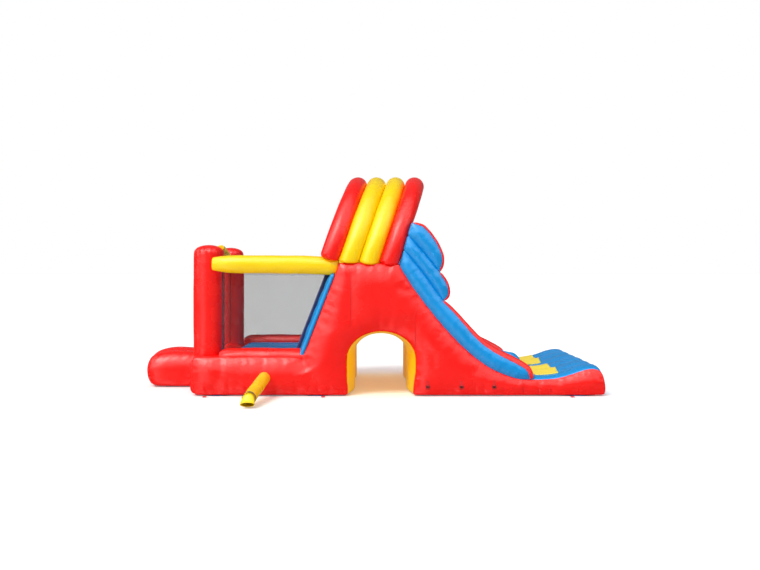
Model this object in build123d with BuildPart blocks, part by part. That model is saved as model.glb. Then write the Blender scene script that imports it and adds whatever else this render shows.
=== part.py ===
"""Inflatable bounce house with a climbing wall, crawl tunnel, arched hood and
two-lane slide.  Millimetres, +Z up, +X towards the slide's landing, the plane
Y = 0 is the plane of symmetry, near is -Y and far is +Y.  The origin is on the
ground under the middle of the bounce area.  Every air chamber is a closed
fabric shell."""
from build123d import *
import os
from math import cos, sin, tan, radians, pi, hypot

os.makedirs("parts", exist_ok=True)

# --------------------------------------------------------- shared dimensions
WALL = 3.0              # coated fabric with its seam allowance
GAP = 6.0               # clearance between neighbouring chambers
HALF_GAP = GAP / 2
HALF_W = 1450.0         # half of the overall width
GROUND_CLEAR = 12.0     # underside of the chambers

FLOOR_TOP = 450.0       # top of the bounce floor
FLOOR_X0, FLOOR_X1 = -494.0, 560.0
BASE_TOP = 530.0        # top of the side bolsters
BASE_X0 = -930.0
BASE_INNER_Y = 1160.0
FLOOR_HALF = BASE_INNER_Y - GAP
ENTRY_TOP = 440.0       # top of the bolster under the two posts

STEP_X0, STEP_X1, STEP_HALF_W, STEP_TOP = -1556.0, -936.0, 500.0, 440.0

POST_X, POST_Y, POST_R, POST_TOP = -700.0, 975.0, 178.0, 1750.0

TUNNEL_X, TUNNEL_HALF, TUNNEL_SPRING, TUNNEL_RISE = 1348.0, 400.0, 431.0, 322.0
LEG_X1 = TUNNEL_X - TUNNEL_HALF - GAP       # tower leg, on the -X side of the tunnel
CORE_X0 = TUNNEL_X + TUNNEL_HALF + GAP      # slide core, on its +X side
SPLIT_Z = 787.0         # level between the tower's lower and upper chambers
BRIDGE_X1 = 1640.0      # +X end of the bridge over the tunnel
PLATFORM_Z = 1394.0
SILL_INNER_Y = 1205.0

LANDING_X0, LANDING_X1 = 2841.0, 3927.0
SLIDE_X0, SLIDE_X1 = BRIDGE_X1 + GAP, LANDING_X0 - GAP
BED_T = 68.0            # from the seam to the underside of the slide bed

# Seam between the red side and the blue slide and landing, side view (X, Z)
SEAM = [(1552, 1530), (1640, 1392), (1738, 1244), (1880, 1052), (2037, 857),
        (2160, 718), (2301, 576), (2430, 462), (2565, 365), (2700, 290),
        (2829, 242), (2900, 218), (3000, 203), (3118, 194), (3304, 200),
        (3431, 220), (3557, 255), (3660, 293), (3740, 314), (3820, 318),
        (3894, 282), (3927, 207)]

SIDES = ((-1, "near"), (1, "far"))

# Inset and mode for the outside of a chamber and for its air space
SHELL_PASSES = ((0.0, Mode.ADD), (WALL, Mode.SUBTRACT))


# ------------------------------------------------------------------- helpers
def offset_line(points, distance):
    """Open polyline moved sideways: positive is to the right of its travel."""
    out = []
    last = len(points) - 1
    for i, (x, z) in enumerate(points):
        x0, z0 = points[max(i - 1, 0)]
        x1, z1 = points[min(i + 1, last)]
        run, rise = x1 - x0, z1 - z0
        length = hypot(run, rise)
        out.append((x + distance * rise / length, z - distance * run / length))
    return out


def at_x(points, x):
    """Height of a polyline at a given X."""
    for (xa, za), (xb, zb) in zip(points, points[1:]):
        if xa <= x <= xb:
            return za + (zb - za) * (x - xa) / (xb - xa)
    return points[-1][1]


def between(points, xa, xb):
    """The stretch of a polyline between two X positions, ends included."""
    mid = [p for p in points if xa + 4 < p[0] < xb - 4]
    return [(xa, at_x(points, xa))] + mid + [(xb, at_x(points, xb))]


def inset(points, distance):
    """Closed outline moved inwards, with sharp corners."""
    count = len(points)
    area = sum(points[i][0] * points[(i + 1) % count][1]
               - points[(i + 1) % count][0] * points[i][1] for i in range(count))
    turn = 1.0 if area > 0 else -1.0
    # Each moved edge as (a, b, c) in a * x + b * z = c
    edges = []
    for i in range(count):
        (xa, za), (xb, zb) = points[i], points[(i + 1) % count]
        length = hypot(xb - xa, zb - za)
        nx, nz = -turn * (zb - za) / length, turn * (xb - xa) / length
        edges.append((nx, nz, nx * xa + nz * za + distance))
    out = []
    for i in range(count):
        a1, b1, c1 = edges[i - 1]
        a2, b2, c2 = edges[i]
        det = a1 * b2 - a2 * b1
        if abs(det) < 1e-3:     # neighbouring edges in one line
            out.append((points[i][0] + a2 * distance, points[i][1] + b2 * distance))
        else:
            out.append(((c1 * b2 - c2 * b1) / det, (a1 * c2 - a2 * c1) / det))
    return out


def save(part, label):
    part.label = label
    export_step(part, "parts/" + label + ".step")


def sheet_prism(points, y0, y1):
    """Solid sheet: a side profile (X, Z) run across from y0 to y1."""
    with BuildPart() as sheet:
        with BuildSketch(Plane.XZ.offset(-y1)):
            with BuildLine():
                Polyline(*points, close=True)
            make_face()
        extrude(amount=y1 - y0)
    return sheet.part


def shell_prism(points, y0, y1):
    """Closed hollow chamber: a side profile (X, Z) run across from y0 to y1."""
    with BuildPart() as shell:
        add(sheet_prism(points, y0, y1))
        add(sheet_prism(inset(points, WALL), y0 + WALL, y1 - WALL), mode=Mode.SUBTRACT)
    return shell.part


def rounded_bolster(x0, x1, yc, zc, width, height, radius):
    """Hollow bolster along X with a rounded cross-section."""
    with BuildPart() as bolster:
        for skin, mode in SHELL_PASSES:
            with BuildSketch(Plane.YZ.offset(x0 + skin)):
                with Locations((yc, zc)):
                    RectangleRounded(width - 2 * skin, height - 2 * skin, radius - skin)
            extrude(amount=x1 - x0 - 2 * skin, mode=mode)
    return bolster.part


def arch_quarter(side, growth):
    """Tunnel arch from the springing up to the crown, grown outwards."""
    a, b = TUNNEL_HALF + growth, TUNNEL_RISE + growth
    angles = [radians(10 * k) for k in range(10)]
    return [(TUNNEL_X + side * a * cos(t), TUNNEL_SPRING + b * sin(t)) for t in angles]


BAFFLE_MARGIN = 9.0     # from the chamber's outline to the edge of a tie
BAFFLE_T = 3.0
AIR_HOLE_R = 45


def baffle_set(points, ys, holes):
    """Upright fabric ties inside a chamber, each with round air holes."""
    with BuildPart() as ties:
        for y in ys:
            with BuildSketch(Plane.XZ.offset(-y)):
                with BuildLine():
                    Polyline(*inset(points, BAFFLE_MARGIN), close=True)
                make_face()
                with Locations(*holes):
                    Circle(AIR_HOLE_R, mode=Mode.SUBTRACT)
            extrude(amount=BAFFLE_T)
    return ties.part


# --------------------------------------------------------------- ground sheet
SHEET_T = 6.0
SHEET_HALF_W = 1440.0
SHEET_CORNER_R = 40
SHEET_END_TRIM = 2

# Panels as (x0, x1, half width), one on each side of the tunnel, one under the step
SHEET_PANELS = ((BASE_X0 + 45, LEG_X1, SHEET_HALF_W),
                (CORE_X0, LANDING_X1 - 10, SHEET_HALF_W),
                (STEP_X0 + 10, STEP_X1, STEP_HALF_W - 10))

with BuildPart() as ground_sheet:
    for xa, xb, half_w in SHEET_PANELS:
        with BuildSketch(Plane.XY):
            with Locations(((xa + xb) / 2, 0)):
                RectangleRounded(xb - xa - 2 * SHEET_END_TRIM, 2 * half_w, SHEET_CORNER_R)
        extrude(amount=SHEET_T)
save(ground_sheet.part, "ground_sheet")

# --------------------------------------------------- bounce floor and bolsters
floor_profile = [(FLOOR_X0, GROUND_CLEAR), (FLOOR_X1, GROUND_CLEAR),
                 (FLOOR_X1, FLOOR_TOP), (FLOOR_X0, FLOOR_TOP)]
save(shell_prism(floor_profile, -FLOOR_HALF, FLOOR_HALF), "bounce_floor")

BASE_ROUND = 105.0
base_w = HALF_W - BASE_INNER_Y
base_h = BASE_TOP - GROUND_CLEAR
for side, tag in SIDES:
    bolster = rounded_bolster(BASE_X0 + 35, FLOOR_X1, side * (BASE_INNER_Y + base_w / 2),
                              GROUND_CLEAR + base_h / 2, base_w, base_h, BASE_ROUND)
    save(bolster, "base_side_" + tag)

# Bolster under the posts, with its upper -X edge cut off in two facets
entry_x1 = FLOOR_X0 - GAP
entry_profile = [(BASE_X0, GROUND_CLEAR), (entry_x1, GROUND_CLEAR),
                 (entry_x1, ENTRY_TOP), (BASE_X0 + 60, ENTRY_TOP),
                 (BASE_X0 + 18, ENTRY_TOP - 18), (BASE_X0, ENTRY_TOP - 60)]
save(shell_prism(entry_profile, -FLOOR_HALF, FLOOR_HALF), "base_entrance")

# Step in front of the entrance, with a faceted, rounded outer end
step_profile = [(STEP_X0 + 70, GROUND_CLEAR), (STEP_X1, GROUND_CLEAR),
                (STEP_X1, STEP_TOP - 40), (STEP_X1 - 60, STEP_TOP),
                (STEP_X0 + 130, STEP_TOP - 5), (STEP_X0 + 45, STEP_TOP - 55),
                (STEP_X0, STEP_TOP - 150), (STEP_X0, GROUND_CLEAR + 110),
                (STEP_X0 + 25, GROUND_CLEAR + 40)]
save(shell_prism(step_profile, -STEP_HALF_W, STEP_HALF_W), "entrance_step")

# Ties inside the floor and the step
with BuildPart() as floor_baffles:
    add(baffle_set(floor_profile, (-770, -385, 0, 385, 770),
                   ((-250, 230), (35, 230), (320, 230))))
    add(baffle_set(step_profile, (-165, 165), ((-1250, 210),)))
save(floor_baffles.part, "floor_baffles")

# --------------------------------------------------------------------- posts
POST_ROUND = 95         # rounding of the top edge
CROWN_INSET = POST_ROUND + 2    # the crown's air space is this far in and down


def post_shell(side):
    """Upright post with a rounded top, its air space stepped in at the crown."""
    foot_z = ENTRY_TOP + GAP
    centre = (POST_X, side * POST_Y)
    with BuildPart() as post:
        with BuildSketch(Plane.XY.offset(foot_z)):
            with Locations(centre):
                Circle(POST_R)
        extrude(amount=POST_TOP - foot_z)
        fillet(post.faces().sort_by(Axis.Z)[-1].edges(), POST_ROUND)
        with BuildSketch(Plane.XY.offset(foot_z + WALL)):
            with Locations(centre):
                Circle(POST_R - WALL)
        extrude(amount=POST_TOP - foot_z - WALL - (POST_ROUND + 1), mode=Mode.SUBTRACT)
        with BuildSketch(Plane.XY.offset(POST_TOP - CROWN_INSET)):
            with Locations(centre):
                Circle(POST_R - CROWN_INSET)
        extrude(amount=CROWN_INSET - WALL, mode=Mode.SUBTRACT)
    return post.part


for side, tag in SIDES:
    save(post_shell(side), "post_" + tag)

# ---------------------------------------------------------------------- bars
BAR_Y, BAR_Z, BAR_R = 1272.0, 1524.0, 112.0
BAR_X0, BAR_X1 = -635.0, 842.0
BAR_END_Z = 1474        # section centre at the +X end

# Sections along the side bar as (x, z, width, height, corner radius): the end
# at the post, the two ends of the even stretch, the end under the hood
BAR_OUTSIDE = ((BAR_X0, BAR_Z + 6, 157, 157, 73),
               (-400, BAR_Z, 2 * BAR_R, 2 * BAR_R, BAR_R - 2),
               (380, BAR_Z, 2 * BAR_R, 2 * BAR_R, BAR_R - 2),
               (BAR_X1, BAR_END_Z, 147, 141, 68))
BAR_INNER_R = BAR_R - WALL
BAR_AIR = ((BAR_X0 + 5, BAR_Z + 6, 150, 150, 70),
           (-400, BAR_Z, 2 * BAR_INNER_R, 2 * BAR_INNER_R, BAR_INNER_R - 2),
           (380, BAR_Z, 2 * BAR_INNER_R, 2 * BAR_INNER_R, BAR_INNER_R - 2),
           (BAR_X1 - 4, BAR_END_Z, 140, 134, 65))


def side_bar(side, sections, void=None):
    """Even bar along X with a tapered stretch at each end, less a void."""
    even_x0, even_x1 = sections[1][0], sections[2][0]
    with BuildPart() as bar:
        for x, z, width, height, radius in sections[:2]:
            with BuildSketch(Plane.YZ.offset(x)):
                with Locations((side * BAR_Y, z)):
                    RectangleRounded(width, height, radius)
        loft()
        x, z, width, height, radius = sections[1]
        with BuildSketch(Plane.YZ.offset(x)):
            with Locations((side * BAR_Y, z)):
                RectangleRounded(width, height, radius)
        extrude(amount=even_x1 - even_x0)
        for x, z, width, height, radius in sections[2:]:
            with BuildSketch(Plane.YZ.offset(x)):
                with Locations((side * BAR_Y, z)):
                    RectangleRounded(width, height, radius)
        loft()
        if void is not None:
            add(void, mode=Mode.SUBTRACT)
    return bar.part


for side, tag in SIDES:
    bar_air = side_bar(side, BAR_AIR)
    save(side_bar(side, BAR_OUTSIDE, bar_air), "side_bar_" + tag)

# Round bar across, between the posts
DOOR_BAR_R, DOOR_BAR_Z, DOOR_BAR_HALF = 85.0, 1575.0, 790

with BuildPart() as entrance_bar:
    for skin, mode in SHELL_PASSES:
        half = DOOR_BAR_HALF - skin
        with BuildSketch(Plane.XZ.offset(-half)):
            with Locations((POST_X, DOOR_BAR_Z)):
                Circle(DOOR_BAR_R - skin)
        extrude(amount=2 * half, mode=mode)
save(entrance_bar.part, "entrance_bar")

# ------------------------------------------------------------- climbing wall
WALL_SLOPE = 0.3904     # run over rise
CLIMB_T = 70.0          # thickness along X
CLIMB_Z0, CLIMB_TOP = 460, 1400
CLIMB_FOOT_X = 445.0    # back of the wall at its foot
CLIMB_SIDE_Z, CLIMB_HALF = 540.0, 1440.0    # the full-width part above the bolsters
SLANT = 1.1             # fabric thickness along X over its true thickness, rounded up


def climb_back(z):
    """X of the wall's back, its +X face, at a height."""
    return CLIMB_FOOT_X + (z - 460.0) * WALL_SLOPE


def climb_profile(z0, skin=0.0):
    """Side profile from z0 up to the top, drawn in by the fabric."""
    face = CLIMB_T - SLANT * skin
    back = SLANT * skin
    bottom, top = z0 + skin, CLIMB_TOP - skin
    return [(climb_back(bottom) - face, bottom), (climb_back(bottom) - back, bottom),
            (climb_back(top) - back, top), (climb_back(top) - face, top)]


# The wall reaches down between the bolsters, and is full width above them
with BuildPart() as climbing_wall:
    for skin, mode in SHELL_PASSES:
        for z0, half in ((CLIMB_Z0, FLOOR_HALF), (CLIMB_SIDE_Z, CLIMB_HALF)):
            add(sheet_prism(climb_profile(z0, skin), -half + skin, half - skin), mode=mode)
save(climbing_wall.part, "climbing_wall")

# Climbing face: local x runs towards -Y, local y up the slope
slope = Plane(origin=(climb_back(CLIMB_Z0) - CLIMB_T, 0, CLIMB_Z0),
              x_dir=(0, -1, 0),
              z_dir=(-1, 0, WALL_SLOPE))
RUNG_PLACES = [(0, 170 + 230 * k) for k in range(4)]
HANDLE_PLACES = [(x, y) for x in (-520, 520) for y in (300, 620)]

with BuildPart() as climb_steps:
    with BuildSketch(slope.offset(3.0)):
        with Locations(*RUNG_PLACES):
            RectangleRounded(760, 90, 40)
    extrude(amount=55)
save(climb_steps.part, "climb_steps")

# Strap handles, open between the strap and the wall
with BuildPart() as climb_handles:
    with BuildSketch(slope.offset(2.0)):
        with Locations(*HANDLE_PLACES):
            RectangleRounded(40, 200, 10)
    extrude(amount=30)
    with BuildSketch(slope.offset(1.0)):
        with Locations(*HANDLE_PLACES):
            Rectangle(60, 140)
    extrude(amount=27, mode=Mode.SUBTRACT)
save(climb_handles.part, "climb_handles")

# ----------------------------------------------------------------- side nets
NET_Y, NET_HALF_T, NET_TOP = 1184.0, 2, 1402
NET_CLEAR = 4           # to the post and to the climbing wall

net_x0 = POST_X + POST_R + NET_CLEAR
net_profile = [(net_x0, BASE_TOP + GAP),
               (climb_back(BASE_TOP) - CLIMB_T - NET_CLEAR, BASE_TOP + GAP),
               (climb_back(CLIMB_TOP) - CLIMB_T - NET_CLEAR, NET_TOP),
               (net_x0, NET_TOP)]
for side, tag in SIDES:
    y = side * NET_Y
    save(sheet_prism(net_profile, y - NET_HALF_T, y + NET_HALF_T), "net_" + tag)

# --------------------------------------------- entrance door net and its zip
DOOR_X, DOOR_Z0, DOOR_Z1 = -680.0, 470.0, 1480.0
DOOR_HALF, DOOR_T = 776, 4
DOOR_HINGE_Y, DOOR_HINGE_R = 780.0, 7
DOOR_EDGE_Y, DOOR_EDGE_R = -772, 5      # cord down the free edge
ZIP_TAPE_Y = -790
ZIP_SLIDER_Y = -787.5
DOOR_H = DOOR_Z1 - DOOR_Z0

with BuildPart() as entrance_door:
    with BuildSketch(Plane.YZ.offset(DOOR_X - DOOR_T / 2)):
        with Locations((0, (DOOR_Z0 + DOOR_Z1) / 2)):
            Rectangle(2 * DOOR_HALF, DOOR_H)
    extrude(amount=DOOR_T)
    with BuildSketch(Plane.XY.offset(DOOR_Z0)):
        with Locations((DOOR_X, DOOR_HINGE_Y)):
            Circle(DOOR_HINGE_R)
        with Locations((DOOR_X, DOOR_EDGE_Y)):
            Circle(DOOR_EDGE_R)
    extrude(amount=DOOR_H)
save(entrance_door.part, "entrance_door")

with BuildPart() as door_zip_tape:
    with BuildSketch(Plane.XY.offset(DOOR_Z0)):
        with Locations((DOOR_X, ZIP_TAPE_Y)):
            Rectangle(3, 14)
    extrude(amount=DOOR_H)
save(door_zip_tape.part, "door_zip_tape")

# Slider body with a slot for the tape, then its pull tab on the -X side
with BuildPart() as door_zip_slider:
    with BuildSketch(Plane.XY.offset(DOOR_Z1 - 50)):
        with Locations((DOOR_X, ZIP_SLIDER_Y)):
            RectangleRounded(14, 17, 2)
        with Locations((DOOR_X, ZIP_TAPE_Y)):
            Rectangle(5, 16, mode=Mode.SUBTRACT)
    extrude(amount=28)
    with BuildSketch(Plane.XY.offset(DOOR_Z1 - 72)):
        with Locations((DOOR_X - 8, ZIP_SLIDER_Y)):
            RectangleRounded(3, 8, 1)
    extrude(amount=46)
save(door_zip_slider.part, "door_zip_slider")

# -------------------------------------------------------------------- tower
leg_x0, leg_shelf_z = FLOOR_X1 + GAP, BASE_TOP + GAP
leg_profile = [(leg_x0, GROUND_CLEAR), (LEG_X1, GROUND_CLEAR),
               (LEG_X1, SPLIT_Z - HALF_GAP),
               (climb_back(SPLIT_Z) + GAP, SPLIT_Z - HALF_GAP),
               (climb_back(leg_shelf_z) + GAP, leg_shelf_z),
               (leg_x0, leg_shelf_z)]
save(shell_prism(leg_profile, -HALF_W, HALF_W), "tower_leg")

bridge_profile = [(climb_back(SPLIT_Z) + GAP, SPLIT_Z + HALF_GAP),
                  (BRIDGE_X1, SPLIT_Z + HALF_GAP), (BRIDGE_X1, PLATFORM_Z),
                  (climb_back(PLATFORM_Z) + GAP, PLATFORM_Z)]


def haunch(side):
    """Chamber between the tunnel arch and the upright side of the tower."""
    reach = TUNNEL_HALF - HALF_GAP
    z_tip = TUNNEL_SPRING + (TUNNEL_RISE + GAP) * (
        1 - (reach / (TUNNEL_HALF + GAP)) ** 2) ** 0.5
    arch = arch_quarter(side, GAP)
    outer_x, crown_x = TUNNEL_X + side * reach, TUNNEL_X + side * HALF_GAP
    return ([(outer_x, SPLIT_Z - HALF_GAP), (outer_x, z_tip)]
            + arch[2:-1]
            + [(crown_x, arch[-1][1]), (crown_x, SPLIT_Z - HALF_GAP)])


with BuildPart() as tower_bridge:
    for profile in (bridge_profile, haunch(-1), haunch(1)):
        add(shell_prism(profile, -HALF_W, HALF_W))
save(tower_bridge.part, "tower_bridge")

SILL_X0, SILL_TOP = 850, 1541.0
sill_profile = [(SILL_X0, PLATFORM_Z + GAP), (1548, PLATFORM_Z + GAP),
                (1540, SILL_TOP), (SILL_X0, SILL_TOP)]
with BuildPart() as platform_sills:
    add(shell_prism(sill_profile, -HALF_W, -SILL_INNER_Y))
    add(shell_prism(sill_profile, SILL_INNER_Y, HALF_W))
save(platform_sills.part, "platform_sills")

# ------------------------------------------------------------- tunnel lining
LINING_T, LINING_HALF = 70.0, 1430


def lining_upright(side):
    """Profile of the pad on one upright side of the tunnel."""
    xo = TUNNEL_X + side * TUNNEL_HALF
    xi = TUNNEL_X + side * (TUNNEL_HALF - LINING_T)
    lo, hi = min(xo, xi), max(xo, xi)
    top = TUNNEL_SPRING - HALF_GAP
    return [(lo, GROUND_CLEAR), (hi, GROUND_CLEAR), (hi, top), (lo, top)]


def lining_arch(side):
    """Profile of the arched pad over one upright pad, just short of the crown."""
    crown_x, crown_z = TUNNEL_X + side * 2, TUNNEL_SPRING + TUNNEL_RISE
    outer = arch_quarter(side, 0)[:-1] + [(crown_x, crown_z)]
    inner = arch_quarter(side, -LINING_T)[:-1] + [(crown_x, crown_z - LINING_T)]
    return outer + inner[::-1]


with BuildPart() as tunnel_lining:
    for profile in (lining_upright(-1), lining_upright(1), lining_arch(-1), lining_arch(1)):
        add(shell_prism(profile, -LINING_HALF, LINING_HALF))
save(tunnel_lining.part, "tunnel_lining")

# --------------------------------------------------------------------- hood
HOOD_COUNT, HOOD_SIDES = 4, 20          # tubes, and facets round each
HOOD_R, HOOD_PITCH, HOOD_LEAN = 110.0, 237.0, 19.3      # lean in degrees, towards +X
HOOD_FOOT_X, HOOD_FOOT_Z = 728.0, 1548.0
HOOD_FIRST_FOOT_Z = 1612.0              # foot of the tube nearest the entrance
HOOD_Y, HOOD_APEX = 1325.0, 2519.0      # tube axis at the feet, and at the crown
HOOD_DROP = 60          # the axis starts this far below the foot
HOOD_POWER = 2.0 / 2.35     # superellipse exponent: squarer than an ellipse

# Sections along a tube, as fractions of the way round
HOOD_STATIONS = [pi * u for u in (0.0, 0.02, 0.06, 0.11, 0.17, 0.235, 0.31, 0.39, 0.46,
                                  0.54, 0.61, 0.69, 0.765, 0.83, 0.89, 0.94, 0.98, 1.0)]


def hood_point(n, t):
    """Centre line of hood tube n: upright legs turning over into the crown."""
    rise = HOOD_APEX - HOOD_FOOT_Z + HOOD_DROP
    c, s = cos(t), sin(t)
    y = -HOOD_Y * (1 if c > 0 else -1) * abs(c) ** HOOD_POWER
    height = rise * max(s, 0.0) ** HOOD_POWER - HOOD_DROP
    x = HOOD_FOOT_X + n * HOOD_PITCH + height * tan(radians(HOOD_LEAN))
    return (x, y, HOOD_FOOT_Z + height)


def hood_plane(n, t):
    """Plane square to the centre line, turned so that all sections line up."""
    p = hood_point(n, max(t - 0.02, 0.0))
    q = hood_point(n, min(t + 0.02, pi))
    return Plane(origin=hood_point(n, t),
                 x_dir=(cos(radians(HOOD_LEAN)), 0, -sin(radians(HOOD_LEAN))),
                 z_dir=(q[0] - p[0], q[1] - p[1], q[2] - p[2]))


def hood_body(n, radius, foot_z, void=None):
    """Faceted tube cut level at its feet, less a void."""
    with BuildPart() as tube:
        for t in HOOD_STATIONS:
            with BuildSketch(hood_plane(n, t)):
                RegularPolygon(radius, HOOD_SIDES)
        loft(ruled=True)
        split(bisect_by=Plane.XY.offset(foot_z), keep=Keep.TOP)
        if void is not None:
            add(void, mode=Mode.SUBTRACT)
    return tube.part


for n in range(HOOD_COUNT):
    foot_z = HOOD_FIRST_FOOT_Z if n == 0 else HOOD_FOOT_Z
    hood_air = hood_body(n, HOOD_R - WALL, foot_z + WALL)
    save(hood_body(n, HOOD_R, foot_z, hood_air), "hood_tube_%d" % (n + 1))

# -------------------------------------------------------------------- slide
under = offset_line(SEAM, BED_T + GAP)      # top of the red core
bed_low = offset_line(SEAM, BED_T)
bed_top = offset_line(SEAM, 2.0)
above_seam = offset_line(SEAM, -4)

core_profile = ([(CORE_X0, GROUND_CLEAR), (SLIDE_X1, GROUND_CLEAR)]
                + between(under, SLIDE_X0, SLIDE_X1)[::-1]
                + [(SLIDE_X0, SPLIT_Z + HALF_GAP), (CORE_X0, SPLIT_Z + HALF_GAP)])
save(shell_prism(core_profile, -HALF_W, HALF_W), "slide_core")

bed_profile = (between(bed_low, SLIDE_X0 + GAP, SLIDE_X1)
               + between(bed_top, SLIDE_X0 + GAP, SLIDE_X1)[::-1])
save(shell_prism(bed_profile, -SILL_INNER_Y, SILL_INNER_Y), "slide_bed")

# Blue lane divider down the middle
DIVIDER_HALF, DIVIDER_H = 108.0, 190.0
divider_profile = (between(above_seam, 1740, 3110)
                   + [(3128, 250), (3122, 330)]
                   + between(offset_line(SEAM, -DIVIDER_H), 1790, 3090)[::-1])
save(shell_prism(divider_profile, -DIVIDER_HALF, DIVIDER_HALF), "slide_divider")

# -------------------------------------------------------------- slide guards
# Three stacked guard chambers on each side of the slide, side view (X, Z)
GUARD_IN, GUARD_OUT = 1211.0, 1445.0

lower_guard = ([(1583, 1530), (1560, 1500), (1560, 1402), (SLIDE_X0, 1402)]
               + between(bed_low, SLIDE_X0, SLIDE_X1)
               + [(SLIDE_X1, at_x(SEAM, LANDING_X0) + 5)]
               + between(above_seam, LANDING_X0 + 8, 3094)
               + [(3102, 225), (3041, 347), (2918, 417), (2706, 523), (2477, 681),
                  (2389, 769), (2213, 963), (2076, 1098), (1629, 1697)])
middle_guard = [(1632, 1706), (2080, 1108), (2122, 1150), (2133, 1210), (2107, 1315),
                (2022, 1434), (1675, 1860)]
upper_guard = [(1678, 1869), (2028, 1442), (2058, 1500), (2063, 1632), (1984, 1791),
               (1861, 1948), (1780, 1990), (1724, 2004)]
guards = (("lower", lower_guard), ("middle", middle_guard), ("upper", upper_guard))
for side, tag in SIDES:
    ya, yb = sorted((side * GUARD_IN, side * GUARD_OUT))
    for level, profile in guards:
        save(shell_prism(profile, ya, yb), "guard_%s_%s" % (level, tag))

# Outlines that the caps follow, from the top down (X, Z)
CAP_LINES = ([(1752, 1997), (1780, 1990), (1861, 1948), (1984, 1791),
              (2063, 1632), (2060, 1550)],
             [(2052, 1392), (2107, 1315), (2133, 1210)],
             [(2120, 1052), (2213, 963), (2389, 769), (2477, 681),
              (2706, 523), (2918, 417), (3030, 353)])
CAP_CLEAR, CAP_T = 3.0, 6.0
CAP_SIDE_INSET = 4


def cap_strip(line):
    """Thin strip laid along the outside of an outline, clear of it."""
    return (offset_line(line, -CAP_CLEAR)
            + offset_line(line, -CAP_CLEAR - CAP_T)[::-1])


cap_in, cap_out = GUARD_IN + CAP_SIDE_INSET, GUARD_OUT - CAP_SIDE_INSET
with BuildPart() as guard_caps:
    for ya, yb in ((-cap_out, -cap_in), (cap_in, cap_out)):
        for line in CAP_LINES:
            add(sheet_prism(cap_strip(line), ya, yb))
save(guard_caps.part, "guard_caps")

# ------------------------------------------------------------------ landing
LANDING_BASE_X1 = 3858
MAT_LIP_X = LANDING_BASE_X1 + GAP       # the mat turns down past the base here
MAT_BEND_X, BASE_BEND_X = 3800, 3790    # where their top lines leave the seam's curve

mat_profile = (between(SEAM, LANDING_X0, LANDING_X1 - 0.5)
               + [(LANDING_X1, 150), (LANDING_X1, GROUND_CLEAR + 30),
                  (LANDING_X1 - 20, GROUND_CLEAR), (MAT_LIP_X, GROUND_CLEAR),
                  (MAT_LIP_X, at_x(bed_low, MAT_BEND_X) - 16)]
               + between(bed_low, LANDING_X0, MAT_BEND_X)[::-1])
save(shell_prism(mat_profile, -HALF_W, HALF_W), "landing_mat")

landing_profile = ([(LANDING_X0, GROUND_CLEAR), (LANDING_BASE_X1, GROUND_CLEAR),
                    (LANDING_BASE_X1, at_x(under, BASE_BEND_X) - 22)]
                   + between(under, LANDING_X0, BASE_BEND_X)[::-1])
save(shell_prism(landing_profile, -HALF_W, HALF_W), "landing_base")

# One patch on the mat at the end of each lane
PATCH_X0, PATCH_X1 = 3165, 3440
PATCH_IN, PATCH_OUT = 130, 1190
patch_profile = (between(above_seam, PATCH_X0, PATCH_X1)
                 + between(offset_line(SEAM, -9), PATCH_X0, PATCH_X1)[::-1])
with BuildPart() as landing_patches:
    for ya, yb in ((-PATCH_OUT, -PATCH_IN), (PATCH_IN, PATCH_OUT)):
        add(sheet_prism(patch_profile, ya, yb))
save(landing_patches.part, "landing_patches")

# Ties inside the slide core and the landing
with BuildPart() as slide_baffles:
    add(baffle_set(core_profile, (-970, -485, 0, 485, 970),
                   ((1900, 400), (1900, 700), (2250, 250))))
    add(baffle_set(landing_profile, (-1088, -725, -363, 0, 363, 725, 1088),
                   ((3250, 75), (3550, 90))))
save(slide_baffles.part, "slide_baffles")

# --------------------------------------------------------- inflation sleeve
SLEEVE_R, SLEEVE_LEN = 72.5, 980.0
SLEEVE_PIVOT = (0.0, -1540.0, 215.0)    # centre of the ball end
SLEEVE_AIM = (-73.0, -2502.0, 88.0)     # the axis points at this place

sleeve_plane = Plane(origin=SLEEVE_PIVOT,
                     z_dir=tuple(a - p for a, p in zip(SLEEVE_AIM, SLEEVE_PIVOT)))
with BuildPart() as inflation_sleeve:
    for skin, mode in SHELL_PASSES:
        with BuildSketch(sleeve_plane):
            Circle(SLEEVE_R - skin)
        extrude(amount=SLEEVE_LEN, mode=mode)
        with Locations(sleeve_plane):
            Sphere(SLEEVE_R - skin, mode=mode)
save(inflation_sleeve.part, "inflation_sleeve")

with BuildPart() as sleeve_tie:
    with BuildSketch(sleeve_plane.offset(SLEEVE_LEN - 110)):
        Circle(SLEEVE_R + 3.0)
        Circle(SLEEVE_R + 0.6, mode=Mode.SUBTRACT)
    extrude(amount=25)
save(sleeve_tie.part, "sleeve_tie")

# ------------------------------------------- webbing tabs and hanging rings
RING_X = (1882.0, 2270.0, 2647.0)
RING_Y, RING_Z = 1460.0, 130.0
RING_BAR, RING_BORE = 2.5, 2.58         # radii of the bar and of its hole in the tab
RING_W, RING_DROP = 42, 38
RING_UPRIGHT_X = 18.2                   # uprights, from the middle of the ring
TAB_W = 28

with BuildPart() as ring_tabs:
    for side, _ in SIDES:
        for x in RING_X:
            with BuildSketch(Plane.YZ.offset(x - TAB_W / 2)):
                with Locations((side * RING_Y, RING_Z)):
                    Circle(6)
                with Locations((side * (HALF_W + 4.5), RING_Z + 27)):
                    Rectangle(3, 62)
                with Locations((side * RING_Y, RING_Z)):
                    Circle(RING_BORE, mode=Mode.SUBTRACT)
            extrude(amount=TAB_W)
save(ring_tabs.part, "ring_tabs")


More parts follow.
